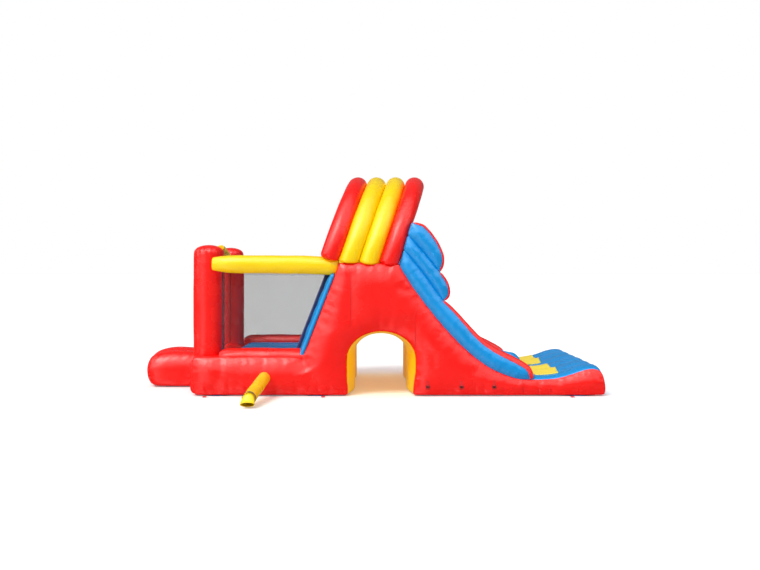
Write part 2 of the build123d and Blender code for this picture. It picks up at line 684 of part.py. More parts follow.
def hanging_ring(x, y):
    """Rectangular ring: two level bars along X joined by two thinner uprights."""
    with BuildPart() as ring:
        with BuildSketch(Plane.YZ.offset(x - RING_W / 2)):
            with Locations((y, RING_Z), (y, RING_Z - RING_DROP)):
                Circle(RING_BAR)
        extrude(amount=RING_W)
        with BuildSketch(Plane.XY.offset(RING_Z - RING_DROP)):
            with Locations((x - RING_UPRIGHT_X, y), (x + RING_UPRIGHT_X, y)):
                Circle(RING_BAR - 0.3)
        extrude(amount=RING_DROP)
    return ring.part


for side, tag in SIDES:
    for i, x in enumerate(RING_X):
        save(hanging_ring(x, side * RING_Y), "ring_%s_%d" % (tag, i + 1))

# ----------------------------------------------------- ground anchor straps
ANCHOR_X = (-680.0, 680.0, 3540.0)
ANCHOR_Y, ANCHOR_Z = 1460.0, 9.0
STRAP_W, STRAP_LEN, STRAP_T = 42, 76, 3
STRAP_CORD_R, GROMMET_R = 4, 8.0


def anchor_strap(x, side):
    """Flat strap with a cord along its inner edge and a grommet hole."""
    with BuildPart() as anchor:
        with BuildSketch(Plane.XY.offset(ANCHOR_Z - STRAP_T / 2)):
            with Locations((x, side * (ANCHOR_Y + STRAP_LEN / 2))):
                RectangleRounded(STRAP_W, STRAP_LEN, 6)
        extrude(amount=STRAP_T)
        with BuildSketch(Plane.YZ.offset(x - STRAP_W / 2)):
            with Locations((side * ANCHOR_Y, ANCHOR_Z)):
                Circle(STRAP_CORD_R)
        extrude(amount=STRAP_W)
        with BuildSketch(Plane.XY.offset(ANCHOR_Z - 6)):
            with Locations((x, side * (ANCHOR_Y + 56))):
                Circle(GROMMET_R)
        extrude(amount=12, mode=Mode.SUBTRACT)
    return anchor.part


for side, tag in SIDES:
    for i, x in enumerate(ANCHOR_X):
        save(anchor_strap(x, side), "anchor_strap_%s_%d" % (tag, i + 1))

# --------------------------------------- deflation opening on the far side
VENT_X, VENT_Z = 120.0, 300.0
VENT_ZIP_Z = VENT_Z - 45
FLAP_W = 270

with BuildPart() as deflation_zip_tape:
    with BuildSketch(Plane.XZ.offset(-(HALF_W + 5.5))):
        with Locations((VENT_X, VENT_ZIP_Z)):
            Rectangle(220, 24)
    extrude(amount=3)
save(deflation_zip_tape.part, "deflation_zip_tape")

# Slider body and its pull tab
with BuildPart() as deflation_zip_slider:
    with BuildSketch(Plane.XZ.offset(-(HALF_W + 12))):
        with Locations((VENT_X - 90, VENT_ZIP_Z)):
            RectangleRounded(24, 12, 3)
        with Locations((VENT_X - 72, VENT_ZIP_Z)):
            RectangleRounded(30, 7, 2)
    extrude(amount=6)
save(deflation_zip_slider.part, "deflation_zip_slider")

# Flap over the zip, hanging from a cord along its top edge
with BuildPart() as deflation_flap:
    with BuildSketch(Plane.XZ.offset(-(HALF_W + 17))):
        with Locations((VENT_X, VENT_Z - 50)):
            RectangleRounded(FLAP_W, 100, 12)
    extrude(amount=3)
    with BuildSketch(Plane.YZ.offset(VENT_X - FLAP_W / 2)):
        with Locations((HALF_W + 15.5, VENT_Z)):
            Circle(5)
    extrude(amount=FLAP_W)
save(deflation_flap.part, "deflation_flap")
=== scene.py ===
# Inflatable play centre: an entrance step, a bouncing area between corner posts and nets,
# a climbing wall up to a hooded tower over a tunnel, and a two-lane slide to a landing.
# +X runs from the entrance to the landing, Z is up and the ground is z = 0. The near side
# is -Y, the far side +Y. Meshes are worked out in millimetres and scaled to metres at the end.
from math import sin, cos, tan, pi, radians, hypot, sqrt, exp

import bmesh
import bpy
import numpy as np
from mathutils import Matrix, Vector, geometry
from mathutils.bvhtree import BVHTree


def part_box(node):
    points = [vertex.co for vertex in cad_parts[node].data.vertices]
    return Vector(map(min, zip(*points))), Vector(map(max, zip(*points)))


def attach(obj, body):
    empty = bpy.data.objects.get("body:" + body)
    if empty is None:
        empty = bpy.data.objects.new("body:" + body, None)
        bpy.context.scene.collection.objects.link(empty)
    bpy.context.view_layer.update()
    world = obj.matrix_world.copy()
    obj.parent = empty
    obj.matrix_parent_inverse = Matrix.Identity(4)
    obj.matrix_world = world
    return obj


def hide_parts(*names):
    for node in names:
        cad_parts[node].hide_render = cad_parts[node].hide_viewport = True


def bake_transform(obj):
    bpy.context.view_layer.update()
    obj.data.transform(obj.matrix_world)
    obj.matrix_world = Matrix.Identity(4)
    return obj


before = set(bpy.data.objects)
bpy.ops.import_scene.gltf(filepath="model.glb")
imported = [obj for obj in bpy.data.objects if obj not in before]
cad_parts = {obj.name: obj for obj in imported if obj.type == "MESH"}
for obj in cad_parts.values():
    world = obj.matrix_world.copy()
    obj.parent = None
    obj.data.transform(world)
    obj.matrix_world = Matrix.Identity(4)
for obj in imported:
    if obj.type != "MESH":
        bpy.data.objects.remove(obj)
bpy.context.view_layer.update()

SCENE = bpy.context.scene
ROOT = "inflatable"
SIDES = ((-1, "near"), (1, "far"))      # sign of Y, name


# ---------------------------------------------------------------- dimensions, mm
def box_mm(node):
    low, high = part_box(node)
    return [c * 1000 for c in low], [c * 1000 for c in high]


HALF_W = box_mm("landing_base")[1][1]
FLOOR_LO, FLOOR_HI = box_mm("bounce_floor")
ENTRY_LO, ENTRY_HI = box_mm("base_entrance")
POST_LO, POST_HI = box_mm("post_near")
BAR_LO, BAR_HI = box_mm("side_bar_near")
ENTRY_BAR_LO, ENTRY_BAR_HI = box_mm("entrance_bar")
STEP_LO, STEP_HI = box_mm("entrance_step")
BRIDGE_LO, BRIDGE_HI = box_mm("tower_bridge")
SILL_LO, SILL_HI = box_mm("platform_sills")
LINING_LO, LINING_HI = box_mm("tunnel_lining")
MAT_HI = box_mm("landing_mat")[1]
NET_HI = box_mm("net_far")[1]
DOOR_LO, DOOR_HI = box_mm("entrance_door")
FLAP_LO, FLAP_HI = box_mm("deflation_flap")

SEWN_Y = HALF_W - 66.0          # where the side panels are sewn to what they meet
INNER_Y = HALF_W - 245.0        # inner face of the side panels
TUNNEL_X = (LINING_LO[0] + LINING_HI[0]) / 2
TUNNEL_HALF = (LINING_HI[0] - LINING_LO[0]) / 2
TUNNEL_SPRING = 431.0           # height where the arch begins
TUNNEL_RISE = LINING_HI[2] - TUNNEL_SPRING
POST_X = (POST_HI[0] + POST_LO[0]) / 2 - 1
POST_Y = abs(POST_HI[1] + POST_LO[1]) / 2
RING_SPOTS = [(1882, 125), (2270, 125), (2647, 125)]    # x, z of the side rings

# seam between the red side and the blue slide and landing: x, z
SEAM = [(1552, 1530), (1640, 1392), (1738, 1244), (1880, 1052), (2037, 857),
        (2160, 718), (2301, 576), (2430, 462), (2565, 365), (2700, 290),
        (2829, 242), (2900, 218), (3000, 203), (3118, 194), (3304, 200),
        (3431, 220), (3557, 255), (3660, 293), (3740, 314), (3820, 318),
        (3894, 282), (3927, 207)]


def climb_back(z):
    """x of the plane behind the climbing wall at height z."""
    return 445.0 + (z - 460.0) * 0.3904


# ---------------------------------------------------------------- lines
def run_lengths(line):
    """Running length along an open line in a plane or in space."""
    spans = np.diff(line, axis=0)
    if line.shape[1] == 2:
        spans = np.hypot(*spans.T)
    else:
        spans = np.sqrt((spans ** 2).sum(1))
    return np.concatenate([[0], np.cumsum(spans)])


def loop_lengths(loop):
    """Running length at each point of a closed loop."""
    spans = np.sqrt(((np.roll(loop, -1, axis=0) - loop) ** 2).sum(1))
    return np.concatenate([[0], np.cumsum(spans)])[:-1]


def resample(line, step):
    """Open line resampled at an even step, both ends kept."""
    line = np.array(line, float)
    run = run_lengths(line)
    spans = max(1, int(round(run[-1] / step)))
    at = np.linspace(0, run[-1], spans + 1)
    return np.column_stack([np.interp(at, run, line[:, k]) for k in range(line.shape[1])])


def smooth_line(points, step):
    """Catmull-Rom curve through the points, resampled at an even step."""
    p = np.array(points, float)
    n = len(p)
    out = []
    for i in range(n - 1):
        p0 = p[i - 1] if i > 0 else 2 * p[0] - p[1]
        p1, p2 = p[i], p[i + 1]
        p3 = p[i + 2] if i + 2 < n else 2 * p[-1] - p[-2]
        for k in range(12):
            t = k / 12.0
            out.append(0.5 * ((2 * p1) + (p2 - p0) * t
                              + (2 * p0 - 5 * p1 + 4 * p2 - p3) * t * t
                              + (3 * p1 - p0 - 3 * p2 + p3) * t ** 3))
    out.append(p[-1])
    return resample(np.array(out), step)


def right_normals(line):
    """Unit normals to the right of travel: downward where a side view runs along +X."""
    t = np.gradient(np.array(line, float), axis=0)
    t /= np.maximum(np.hypot(t[:, 0], t[:, 1]), 1e-9)[:, None]
    return np.column_stack([t[:, 1], -t[:, 0]])


def offset_line(line, distance):
    """Line moved to the right of its travel."""
    return np.array(line, float) + distance * right_normals(line)


def chain(*parts):
    """Outline through several smooth stretches that meet in sharp corners."""
    out = []
    for part in parts:
        out += [tuple(q) for q in smooth_line(part, 33.0)[:-1]]
    return out


def ripple(x, seed, terms, rate):
    """Smooth irregular wave of one variable, about -1..1, the same each run."""
    x = np.asarray(x, float)
    out = np.zeros_like(x)
    total = 0.0
    for k in range(terms):
        frequency = rate * (1.0 + 0.83 * k) * (1 + 0.13 * sin(seed * 3.1 + k))
        phase = (seed * 12.9898 + k * 78.233) % 6.2831
        weight = 1.0 / (1 + 0.35 * k)
        out = out + weight * np.sin(x * frequency + phase)
        total += weight
    return out / total * 1.6


# ---------------------------------------------------------------- shader nodes
def set_inputs(tree, node, inputs):
    """Give each input a value, or link it from an output socket."""
    for key, value in inputs.items():
        if isinstance(value, bpy.types.NodeSocket):
            tree.links.new(value, node.inputs[key])
        else:
            node.inputs[key].default_value = value


def add_node(tree, kind, inputs=None, **settings):
    node = tree.nodes.new("ShaderNode" + kind)
    for key, value in settings.items():
        setattr(node, key, value)
    set_inputs(tree, node, inputs or {})
    return node


def math_node(tree, operation, *values):
    return add_node(tree, "Math", dict(enumerate(values)), operation=operation).outputs[0]


def map_range(tree, value, target, source=(0.0, 1.0), interpolation="LINEAR"):
    inputs = dict(enumerate((value, *source, *target)))
    return add_node(tree, "MapRange", inputs, interpolation_type=interpolation).outputs[0]


def noise_texture(tree, vector, **inputs):
    return add_node(tree, "TexNoise", {"Vector": vector, **inputs}).outputs["Fac"]


def bands(tree, vector, axis, **inputs):
    return add_node(tree, "TexWave", {"Vector": vector, **inputs},
                    wave_type="BANDS", bands_direction=axis).outputs["Fac"]


def bump(tree, height, strength, distance, **inputs):
    inputs.update(Height=height, Strength=strength, Distance=distance)
    return add_node(tree, "Bump", inputs).outputs[0]


def color_ramp(tree, value, low, high, positions=(0.0, 1.0)):
    ramp = add_node(tree, "ValToRGB", {0: value})
    for element, color, position in zip(ramp.color_ramp.elements, (low, high), positions):
        element.position = position
        element.color = (*color, 1)
    return ramp.outputs[0]


def new_material(name, empty=True):
    material = bpy.data.materials.new(name)
    material.use_nodes = True
    if empty:
        material.node_tree.nodes.clear()
    return material, material.node_tree


def srgb(*channels):
    """Linear colour from 0-255 sRGB channels."""
    scaled = [c / 255.0 for c in channels]
    return tuple(c / 12.92 if c <= 0.04045 else ((c + 0.055) / 1.055) ** 2.4 for c in scaled)


# ---------------------------------------------------------------- materials
def cloth(name, color, weave=900.0, roughness=0.25, variation=0.10, weave_depth=0.25,
          crease_depth=0.45, sheen=0.0, coat=0.05):
    """Coated woven cloth: fine weave, soft creases, uneven shine and colour."""
    material, tree = new_material(name)
    place = add_node(tree, "TexCoord").outputs["Object"]

    broad = noise_texture(tree, place, Scale=2.2, Detail=5)
    fine = noise_texture(tree, place, Scale=38.0, Detail=4)
    mottle = math_node(tree, "MULTIPLY_ADD", fine, 0.35, broad)
    low = [max(c * (1 - variation), 0) for c in color]
    high = [min(c * (1 + variation * 0.5) + 0.004, 1) for c in color]

    threads = [bands(tree, place, axis, Scale=weave / 6.2832, Distortion=0.4) for axis in "XYZ"]
    crossed = math_node(tree, "ADD", math_node(tree, "ADD", *threads[:2]), threads[2])
    weave_bump = bump(tree, crossed, strength=weave_depth, distance=0.0004)
    creases = noise_texture(tree, place, Scale=4.0, Detail=3, Roughness=0.45, Distortion=0.6)

    shader = add_node(tree, "BsdfPrincipled", {
        "Base Color": color_ramp(tree, mottle, low, high, positions=(0.35, 0.95)),
        "Roughness": map_range(tree, broad, target=(roughness - 0.06, roughness + 0.10)),
        "Normal": bump(tree, creases, strength=crease_depth, distance=0.02, Normal=weave_bump),
        "Specular IOR Level": 0.36,
        "Specular Tint": (1.0, 0.96, 0.94, 1),
        "Sheen Weight": sheen,
        "Sheen Roughness": 0.4,
        "Coat Weight": coat,
        "Coat Roughness": 0.28,
    })
    add_node(tree, "OutputMaterial", {0: shader.outputs[0]})
    return material


def webbing(name, color, roughness, sheen):
    """Uncoated tape with a tight, deep weave."""
    return cloth(name, color, weave=2400, roughness=roughness, weave_depth=0.8,
                 crease_depth=0.1, coat=0.0, sheen=sheen)


def plastic(name, color, roughness):
    """Moulded plastic with a fine grain."""
    material, tree = new_material(name, empty=False)
    place = add_node(tree, "TexCoord").outputs["Object"]
    grain = noise_texture(tree, place, Scale=420.0, Detail=3)
    low = [c * 0.8 for c in color]
    high = [min(1, c * 1.25 + 0.004) for c in color]
    set_inputs(tree, tree.nodes["Principled BSDF"], {
        "Normal": bump(tree, grain, strength=0.25, distance=0.0003),
        "Base Color": color_ramp(tree, grain, low, high),
        "Roughness": map_range(tree, grain, target=(roughness - 0.08, roughness + 0.12)),
    })
    return material


def net_material(name, clear):
    """Knitted mesh: dark yarn with open holes, laid out on the net's own plane."""
    material, tree = new_material(name)
    place = add_node(tree, "TexCoord").outputs["Object"]
    x, y, z = add_node(tree, "SeparateXYZ", {0: place}).outputs
    # x + y runs along both the side nets and the entrance net, which lies across
    along = math_node(tree, "ADD", x, y)
    flat = add_node(tree, "CombineXYZ", {0: along, 1: z}).outputs[0]
    diagonal = add_node(tree, "Mapping", {"Vector": flat,
                                          "Rotation": (0, 0, radians(45))}).outputs[0]
    yarns = [bands(tree, diagonal, axis, Scale=46.0, Distortion=0.25, Detail=1.0)
             for axis in "XY"]
    mesh = math_node(tree, "MINIMUM", *yarns)
    holes = map_range(tree, mesh, source=(0.04, 0.30),
                      target=(clear - 0.20, min(1.0, clear + 0.06)))
    uneven = noise_texture(tree, flat, Scale=3.0)
    opening = math_node(tree, "MULTIPLY_ADD", uneven, 0.05, holes)
    yarn = add_node(tree, "BsdfPrincipled", {
        "Base Color": (0.020, 0.020, 0.022, 1),
        "Roughness": 0.75,
        "Normal": bump(tree, mesh, strength=0.15, distance=0.0005),
    })
    gap = add_node(tree, "BsdfTransparent")
    mix = add_node(tree, "MixShader", {0: opening, 1: yarn.outputs[0], 2: gap.outputs[0]})
    add_node(tree, "OutputMaterial", {0: mix.outputs[0]})
    return material


def lining_material():
    """Thin yellow cloth with a painted glow: a little emission stands in for daylight shining
    through it.
    """
    material = cloth("lining_yellow_cloth", srgb(255, 206, 0), roughness=0.34)
    set_inputs(material.node_tree, material.node_tree.nodes["Principled BSDF"], {
        # painted glow: emission standing in for light coming through the cloth
        "Emission Color": (*srgb(255, 190, 0), 1),
        "Emission Strength": 0.17,
    })
    return material


RED = cloth("red_coated_cloth", srgb(252, 20, 14))
YELLOW = cloth("yellow_coated_cloth", srgb(255, 216, 4), variation=0.05)
BLUE = cloth("blue_coated_cloth", srgb(0, 146, 220))
GROUND = cloth("ground_cloth", srgb(40, 120, 175), roughness=0.5)
WHITE = cloth("tie_cloth", srgb(225, 225, 222), roughness=0.6)
RED_WEB = webbing("red_webbing", srgb(214, 24, 30), roughness=0.6, sheen=0.3)
BLACK_WEB = webbing("black_webbing", (0.012, 0.012, 0.013), roughness=0.62, sheen=0.2)
BLACK_PLASTIC = plastic("black_moulded_plastic", (0.012, 0.012, 0.012), roughness=0.4)
NET = net_material("net_mesh", clear=0.66)
# darker red for the seam cords: painted shade standing in for the shadow in the seam creases
SEAM_SHADE_RED = cloth("seam_shade_red_cloth", srgb(206, 14, 12), variation=0.12, roughness=0.34)
LINING = lining_material()
PATCH = cloth("yellow_patch_cloth", srgb(250, 222, 70), variation=0.05, roughness=0.42)
NAVY = cloth("navy_binding_cloth", srgb(12, 34, 84), variation=0.12, roughness=0.4)

SLOTS = {material.name: slot for slot, materials in {
    "red_fabric": (RED, SEAM_SHADE_RED),
    "yellow_fabric": (YELLOW, LINING, PATCH),
    "blue_fabric": (BLUE,),
    "ground_fabric": (GROUND,),
    "white_tie_fabric": (WHITE,),
    "black_webbing": (BLACK_WEB, NAVY),
    "net_mesh": (NET,),
}.items() for material in materials}


# ---------------------------------------------------------------- meshes
def add_subsurf(piece):
    modifier = piece.modifiers.new("Subsurf", "SUBSURF")
    modifier.levels = 1
    modifier.render_levels = 1


def make(name, verts, faces, material, nodes=(), body=ROOT, smooth=True, subdivide=True,
         merge=0.0):
    mesh = bpy.data.meshes.new(name)
    mesh.from_pydata((np.array(verts, float) * 0.001).tolist(), [], [list(f) for f in faces])
    bm = bmesh.new()
    bm.from_mesh(mesh)
    if merge:
        bmesh.ops.remove_doubles(bm, verts=bm.verts, dist=merge * 0.001)
    bmesh.ops.recalc_face_normals(bm, faces=bm.faces)
    bm.to_mesh(mesh)
    bm.free()
    mesh.materials.append(material)
    if smooth:
        mesh.polygons.foreach_set("use_smooth", [True] * len(mesh.polygons))
    piece = bpy.data.objects.new(name, mesh)
    SCENE.collection.objects.link(piece)
    if subdivide:
        add_subsurf(piece)
    if nodes:
        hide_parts(*nodes)
    if body:
        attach(piece, body)
    return piece


def grid_faces(nu, nv, close_v=False, base=0):
    faces = []
    for i in range(nu - 1):
        for j in range(nv if close_v else nv - 1):
            k = (j + 1) % nv
            faces.append((base + i * nv + j, base + i * nv + k,
                          base + (i + 1) * nv + k, base + (i + 1) * nv + j))
    return faces


def slab_faces(nu, nv, base=0):
    """Two grids of nu x nv points, one stored after the other, joined round their rims."""
    layer = nu * nv
    faces = grid_faces(nu, nv, base=base)
    faces += [tuple(reversed(f)) for f in grid_faces(nu, nv, base=base + layer)]
    rims = ([j for j in range(nv)], [(nu - 1) * nv + j for j in range(nv)],
            [i * nv for i in range(nu)], [i * nv + nv - 1 for i in range(nu)])
    for rim in rims:
        for p, q in zip(rim, rim[1:]):
            faces.append((base + p, base + q, base + q + layer, base + p + layer))
    return faces


# ---------------------------------------------------------------- air-filled pads
def triangulate(loop, step):
    """Even triangles inside a closed outline whose points are already spaced."""
    clearance = step * 0.55         # inner points keep this far from the outline
    n = len(loop)
    low, high = loop.min(0), loop.max(0)
    following = np.roll(loop, -1, axis=0)
    row_height = step * 0.866
    columns = np.arange(low[0] - step, high[0] + step, step)
    inner = []
    row = 0
    y = low[1] + row_height * 0.5
    while y < high[1]:
        xs = columns + (step / 2 if row % 2 else 0)
        # even-odd test of the row against the outline
        crosses = (loop[:, 1] > y) != (following[:, 1] > y)
        a, b = loop[crosses], following[crosses]
        hits = np.sort(a[:, 0] + (y - a[:, 1]) / (b[:, 1] - a[:, 1]) * (b[:, 0] - a[:, 0]))
        for k in range(0, len(hits) - 1, 2):
            inner += [(x, y) for x in xs[(xs > hits[k]) & (xs < hits[k + 1])]]
        y += row_height
        row += 1
    inner = np.array(inner)

    edge = following - loop
    edge_squared = (edge ** 2).sum(1)
    keep = []
    for start in range(0, len(inner), 400):
        block = inner[start:start + 400]
        t = ((block[:, None, :] - loop[None]) * edge[None]).sum(2) / edge_squared[None]
        t = np.clip(t, 0, 1)
        away = block[:, None, :] - (loop[None] + t[..., None] * edge[None])
        keep.append(np.sqrt((away ** 2).sum(2)).min(1) > clearance)
    inner = inner[np.concatenate(keep)]

    points = [Vector((float(a), float(b))) for a, b in np.vstack([loop, inner])]
    edges = [(i, (i + 1) % n) for i in range(n)]
    result = geometry.delaunay_2d_cdt(points, edges, [list(range(n))], 1, 1e-3)
    new_points, _, faces, origins = result[:4]
    new_index = {}
    for new, olds in enumerate(origins):
        for old in olds:
            new_index[old] = new
    flat = np.array([[v.x, v.y] for v in new_points])
    return flat, [list(f) for f in faces], [new_index[i] for i in range(n)]


def membrane(flat, faces, ring):
    """Height of an air-filled sheet held along its outline, in arbitrary units."""
    n = len(flat)
    neighbours = [set() for _ in range(n)]
    for face in faces:
        for k in range(len(face)):
            a, b = face[k], face[(k + 1) % len(face)]
            neighbours[a].add(b)
            neighbours[b].add(a)
    fixed = np.zeros(n, bool)
    fixed[ring] = True
    free = np.where(~fixed)[0]
    index = -np.ones(n, int)
    index[free] = np.arange(len(free))
    stiffness = np.zeros((len(free), len(free)), np.float32)
    for a in free:
        i = index[a]
        for b in neighbours[a]:
            weight = 1.0 / (((flat[a] - flat[b]) ** 2).sum() + 1e-6)
            stiffness[i, i] += weight
            if not fixed[b]:
                stiffness[i, index[b]] -= weight
    height = np.zeros(n)
    height[free] = np.linalg.solve(stiffness, np.ones(len(free), np.float32))
    return np.maximum(height, 0)


def relax(faces, height, ring, times):
    """Evens out a height field, the outline held."""
    n = len(height)
    here, there = [], []
    for face in faces:
        for k in range(len(face)):
            a, b = face[k], face[(k + 1) % len(face)]
            here += [a, b]
            there += [b, a]
    here, there = np.array(here), np.array(there)
    count = np.maximum(np.bincount(here, minlength=n), 1)
    for _ in range(times):
        mean = 0.55 * np.bincount(here, weights=height[there], minlength=n) / count
        height = 0.45 * height + mean
        height[ring] = 0
    return height


def edge_distance(flat, loop):
    """Distance to the outline and the running length at its nearest point."""
    run = loop_lengths(loop)
    distance = np.empty(len(flat))
    along = np.empty(len(flat))
    for start in range(0, len(flat), 500):
        block = flat[start:start + 500]
        gaps = np.sqrt(((block[:, None, :] - loop[None]) ** 2).sum(2))
        k = gaps.argmin(1)
        distance[start:start + 500] = gaps[np.arange(len(k)), k]
        along[start:start + 500] = run[k]
    return distance, along


def seam_dip(flat, seams):
    """How far the sewn lines (end, end, width, depth) pull the surface in."""
    out = np.zeros(len(flat))
    for a, b, width, depth in seams:
        a = np.array(a, float)
        ab = np.array(b, float) - a
        t = np.clip(((flat - a) @ ab) / (ab @ ab), 0, 1)
        away = np.sqrt(((flat - (a + t[:, None] * ab)) ** 2).sum(1))
        fade = np.clip(np.minimum(t, 1 - t) * 6, 0.25, 1)
        out = np.maximum(out, depth * fade * np.exp(-(away / width) ** 1.3))
    return out


def upright(sign, y_middle):
    """Places a pad's plane upright along X, w measured outward from y_middle."""
    return lambda u, v, w: (u, sign * (y_middle + w), v)


def pillow(name, outline, place, half, bulges, material, step, pucker, seed, edge_bulge,
           edge_rows=6, seams=(), fullness=0.5, height_scale=None, rim=None, limit=None,
           **piece):
    """Closed air-filled pad.

    The outline lies in a plane and place(u, v, w) puts a point w off it. half is half the
    depth at the sewn edge, bulges the swell of the front and back, edge_bulge(u, v) the
    swell of the edge strip, fullness the power that fattens the swell. height_scale makes
    the swell level off. rim is (width of a rounded edge, share of the swell left to the
    membrane). limit(u, v, w) holds the front back.
    """
    loop = resample(np.vstack([outline, outline[:1]]), step)[:-1]
    flat, faces, ring = triangulate(loop, step)
    height = membrane(flat, faces, ring)
    if height_scale:
        swell = (1 - np.exp(-1.7 * height / height_scale)) ** fullness
    else:
        swell = (height / height.max()) ** fullness
    edge = flat[ring]
    distance, along = edge_distance(flat, edge)
    if rim:
        width, share = rim
        q = np.clip(distance / width, 0, 1)
        swell = (1 - share) * (1 - (1 - q) ** 2) + share * swell
        swell = relax(faces, swell, ring, 3)

    # gathers run in from the sewn edge and die away
    gathers = (pucker * np.exp(-distance / 95.0) * (1 - np.exp(-distance / 18.0))
               * ripple(along, seed, 6, 0.055))
    gathers += (0.55 * pucker * np.exp(-distance / 160.0) * (1 - np.exp(-distance / 40.0))
                * ripple(along, seed + 3, 5, 0.021))
    us, vs = flat[:, 0], flat[:, 1]
    uneven = (2.6 * swell * ripple(us * 0.9 + vs * 0.4, seed + 1, 4, 0.006)
              + 2.0 * swell * ripple(vs * 1.1 - us * 0.3, seed + 2, 4, 0.008))
    front = bulges[0] * swell - seam_dip(flat, seams) + gathers + uneven
    back = bulges[1] * swell
    front[ring] = 0
    back[ring] = 0

    n = len(flat)
    verts = []
    for (u, v), rise in zip(flat, front):
        w = half + rise
        if limit:
            w = limit(u, v, w)
        verts.append(place(u, v, w))
    verts += [place(u, v, -half - rise) for (u, v), rise in zip(flat, back)]
    faces = [tuple(f) for f in faces] + [tuple(n + k for k in reversed(f)) for f in faces]

    # edge strip between the two sewn lines
    after, before = np.roll(edge, -1, axis=0), np.roll(edge, 1, axis=0)
    tangent = after - before
    tangent /= np.maximum(np.sqrt((tangent ** 2).sum(1)), 1e-9)[:, None]
    area = 0.5 * np.sum(edge[:, 0] * after[:, 1] - after[:, 0] * edge[:, 1])
    outward = np.column_stack([tangent[:, 1], -tangent[:, 0]]) * (1 if area > 0 else -1)
    run = loop_lengths(edge)
    rows = [ring]
    for k in range(1, edge_rows):
        f = k / edge_rows
        row = []
        for i, point in enumerate(edge):
            b = edge_bulge(*point)
            out = b * sin(pi * f) ** 0.75
            if b > 8:
                out += 0.10 * b * sin(pi * f) * ripple(run[i], seed + 7, 5, 0.05) * (1 - f)
            q = point + outward[i] * out
            row.append(len(verts))
            verts.append(place(q[0], q[1], half - 2 * half * f))
        rows.append(row)
    rows.append([n + r for r in ring])
    for a, b in zip(rows, rows[1:]):
        for i in range(len(ring)):
            j = (i + 1) % len(ring)
            faces.append((a[i], a[j], b[j], b[i]))
    return make(name, verts, faces, material, **piece)


# ---------------------------------------------------------------- tubes
# end shape: steps, depth as a share of the radius
END_SHAPES = {"round": (6, 0.35), "flat": (3, 0.06), "dome": (8, 0.46)}


def tube(name, path, radius, material, segments=40, ends=("round", "round"),
         gathers=(0.0, 0.0), seed=1.0, section=None, up=(0, 0, 1), folds=14, wave=1.5,
         **piece):
    """Air-filled tube along a path.

    radius(s, total) is in mm at run s; section(s, total, angle) scales it along up and
    across. gathers are the fold depths at the two ends, folds how close they lie, wave
    the unevenness of the whole surface.
    """
    path = np.array(path, float)
    n = len(path)
    tangent = np.gradient(path, axis=0)
    tangent /= np.sqrt((tangent ** 2).sum(1))[:, None]
    run = run_lengths(path)
    total = run[-1]
    u = np.array(up, float)
    verts = []
    for i in range(n):
        u = u - tangent[i] * (u @ tangent[i])
        u /= sqrt(u @ u)
        v = np.cross(tangent[i], u)
        s = run[i]
        size = radius(s, total)
        for k in range(segments):
            a = 2 * pi * k / segments
            scale_u, scale_v = section(s, total, a) if section else (1.0, 1.0)
            gather = (gathers[0] * exp(-s / 110.0) * ripple(a * folds, seed, 3, 1.0)
                      + gathers[1] * exp(-(total - s) / 110.0)
                      * ripple(a * folds, seed + 2, 3, 1.0))
            # the folds die out where the ring closes on itself
            gather = gather * min(1.0, min(a, 2 * pi - a) * 3)
            uneven = wave * (sin(3 * a + s * 0.004 + seed) * sin(s * 0.011 + seed * 2)
                             + 0.6 * sin(2 * a - s * 0.007 + seed))
            spoke = u * cos(a) * scale_u + v * sin(a) * scale_v
            verts.append(path[i] + spoke * (size + gather + uneven))
    faces = grid_faces(n, segments, close_v=True)

    for end, shape, outward in ((0, ends[0], -tangent[0]), (n - 1, ends[1], tangent[-1])):
        if shape == "open":
            continue
        previous = list(range(end * segments, (end + 1) * segments))
        base = np.array([verts[i] for i in previous])
        centre = np.mean(base, axis=0)
        steps, share = END_SHAPES[shape]
        depth = share * radius(run[end], total)
        for step in range(1, steps):
            angle = step / steps * pi / 2
            ring = []
            for k in range(segments):
                ring.append(len(verts))
                verts.append(centre + (base[k] - centre) * cos(angle)
                             + outward * depth * sin(angle))
            for k in range(segments):
                j = (k + 1) % segments
                faces.append((previous[k], previous[j], ring[j], ring[k]))
            previous = ring
        top = len(verts)
        verts.append(centre + outward * depth)
        for k in range(segments):
            faces.append((previous[k], previous[(k + 1) % segments], top))
    return make(name, verts, faces, material, **piece)


# ---------------------------------------------------------------- channelled mats
POINTS_PER_CHANNEL = 7


def channel_swell(t):
    """0 on the sewn lines at whole t, 1 midway between them."""
    return abs(sin(pi * t)) ** 0.62


def strip_mat(name, line, y0, y1, channels, bulge, depth, material, seed, end_fade=60.0,
              pucker=3.0, crown=None, **piece):
    """Air mat whose side view follows a line; sewn channels run along it."""
    line = np.array(line, float)
    up = -right_normals(line)
    run = run_lengths(line)
    ys = np.linspace(y0, y1, channels * POINTS_PER_CHANNEL + 1)
    verts = []
    for i in range(len(line)):
        fade = sqrt(max(min(1.0, run[i] / end_fade, (run[-1] - run[i]) / end_fade), 0.0))
        for y in ys:
            t = (y - y0) / (y1 - y0) * channels
            b = channel_swell(t)
            channel = int(min(t, channels - 1e-6))
            gather = pucker * (1 - b) * ripple(run[i], seed + round(t) * 1.7, 4, 0.05) * 0.6
            gather += pucker * b * ripple(run[i], seed + channel * 2.3, 3, 0.012) * 0.5
            w = bulge * b * fade + gather * fade
            if crown:
                w += crown(line[i][0], y)
            verts.append((line[i][0] + up[i][0] * w, y, line[i][1] + up[i][1] * w))
    for i in range(len(line)):
        x, z = line[i] - up[i] * depth
        verts += [(x, y, z) for y in ys]
    return make(name, verts, slab_faces(len(line), len(ys)), material, **piece)


# ---------------------------------------------------------------- cloth simulation
INFLATE_FRAMES = 16


def mesh_array(mesh, attribute):
    values = np.empty(len(mesh.vertices) * 3)
    mesh.vertices.foreach_get(attribute, values)
    return values.reshape(-1, 3)


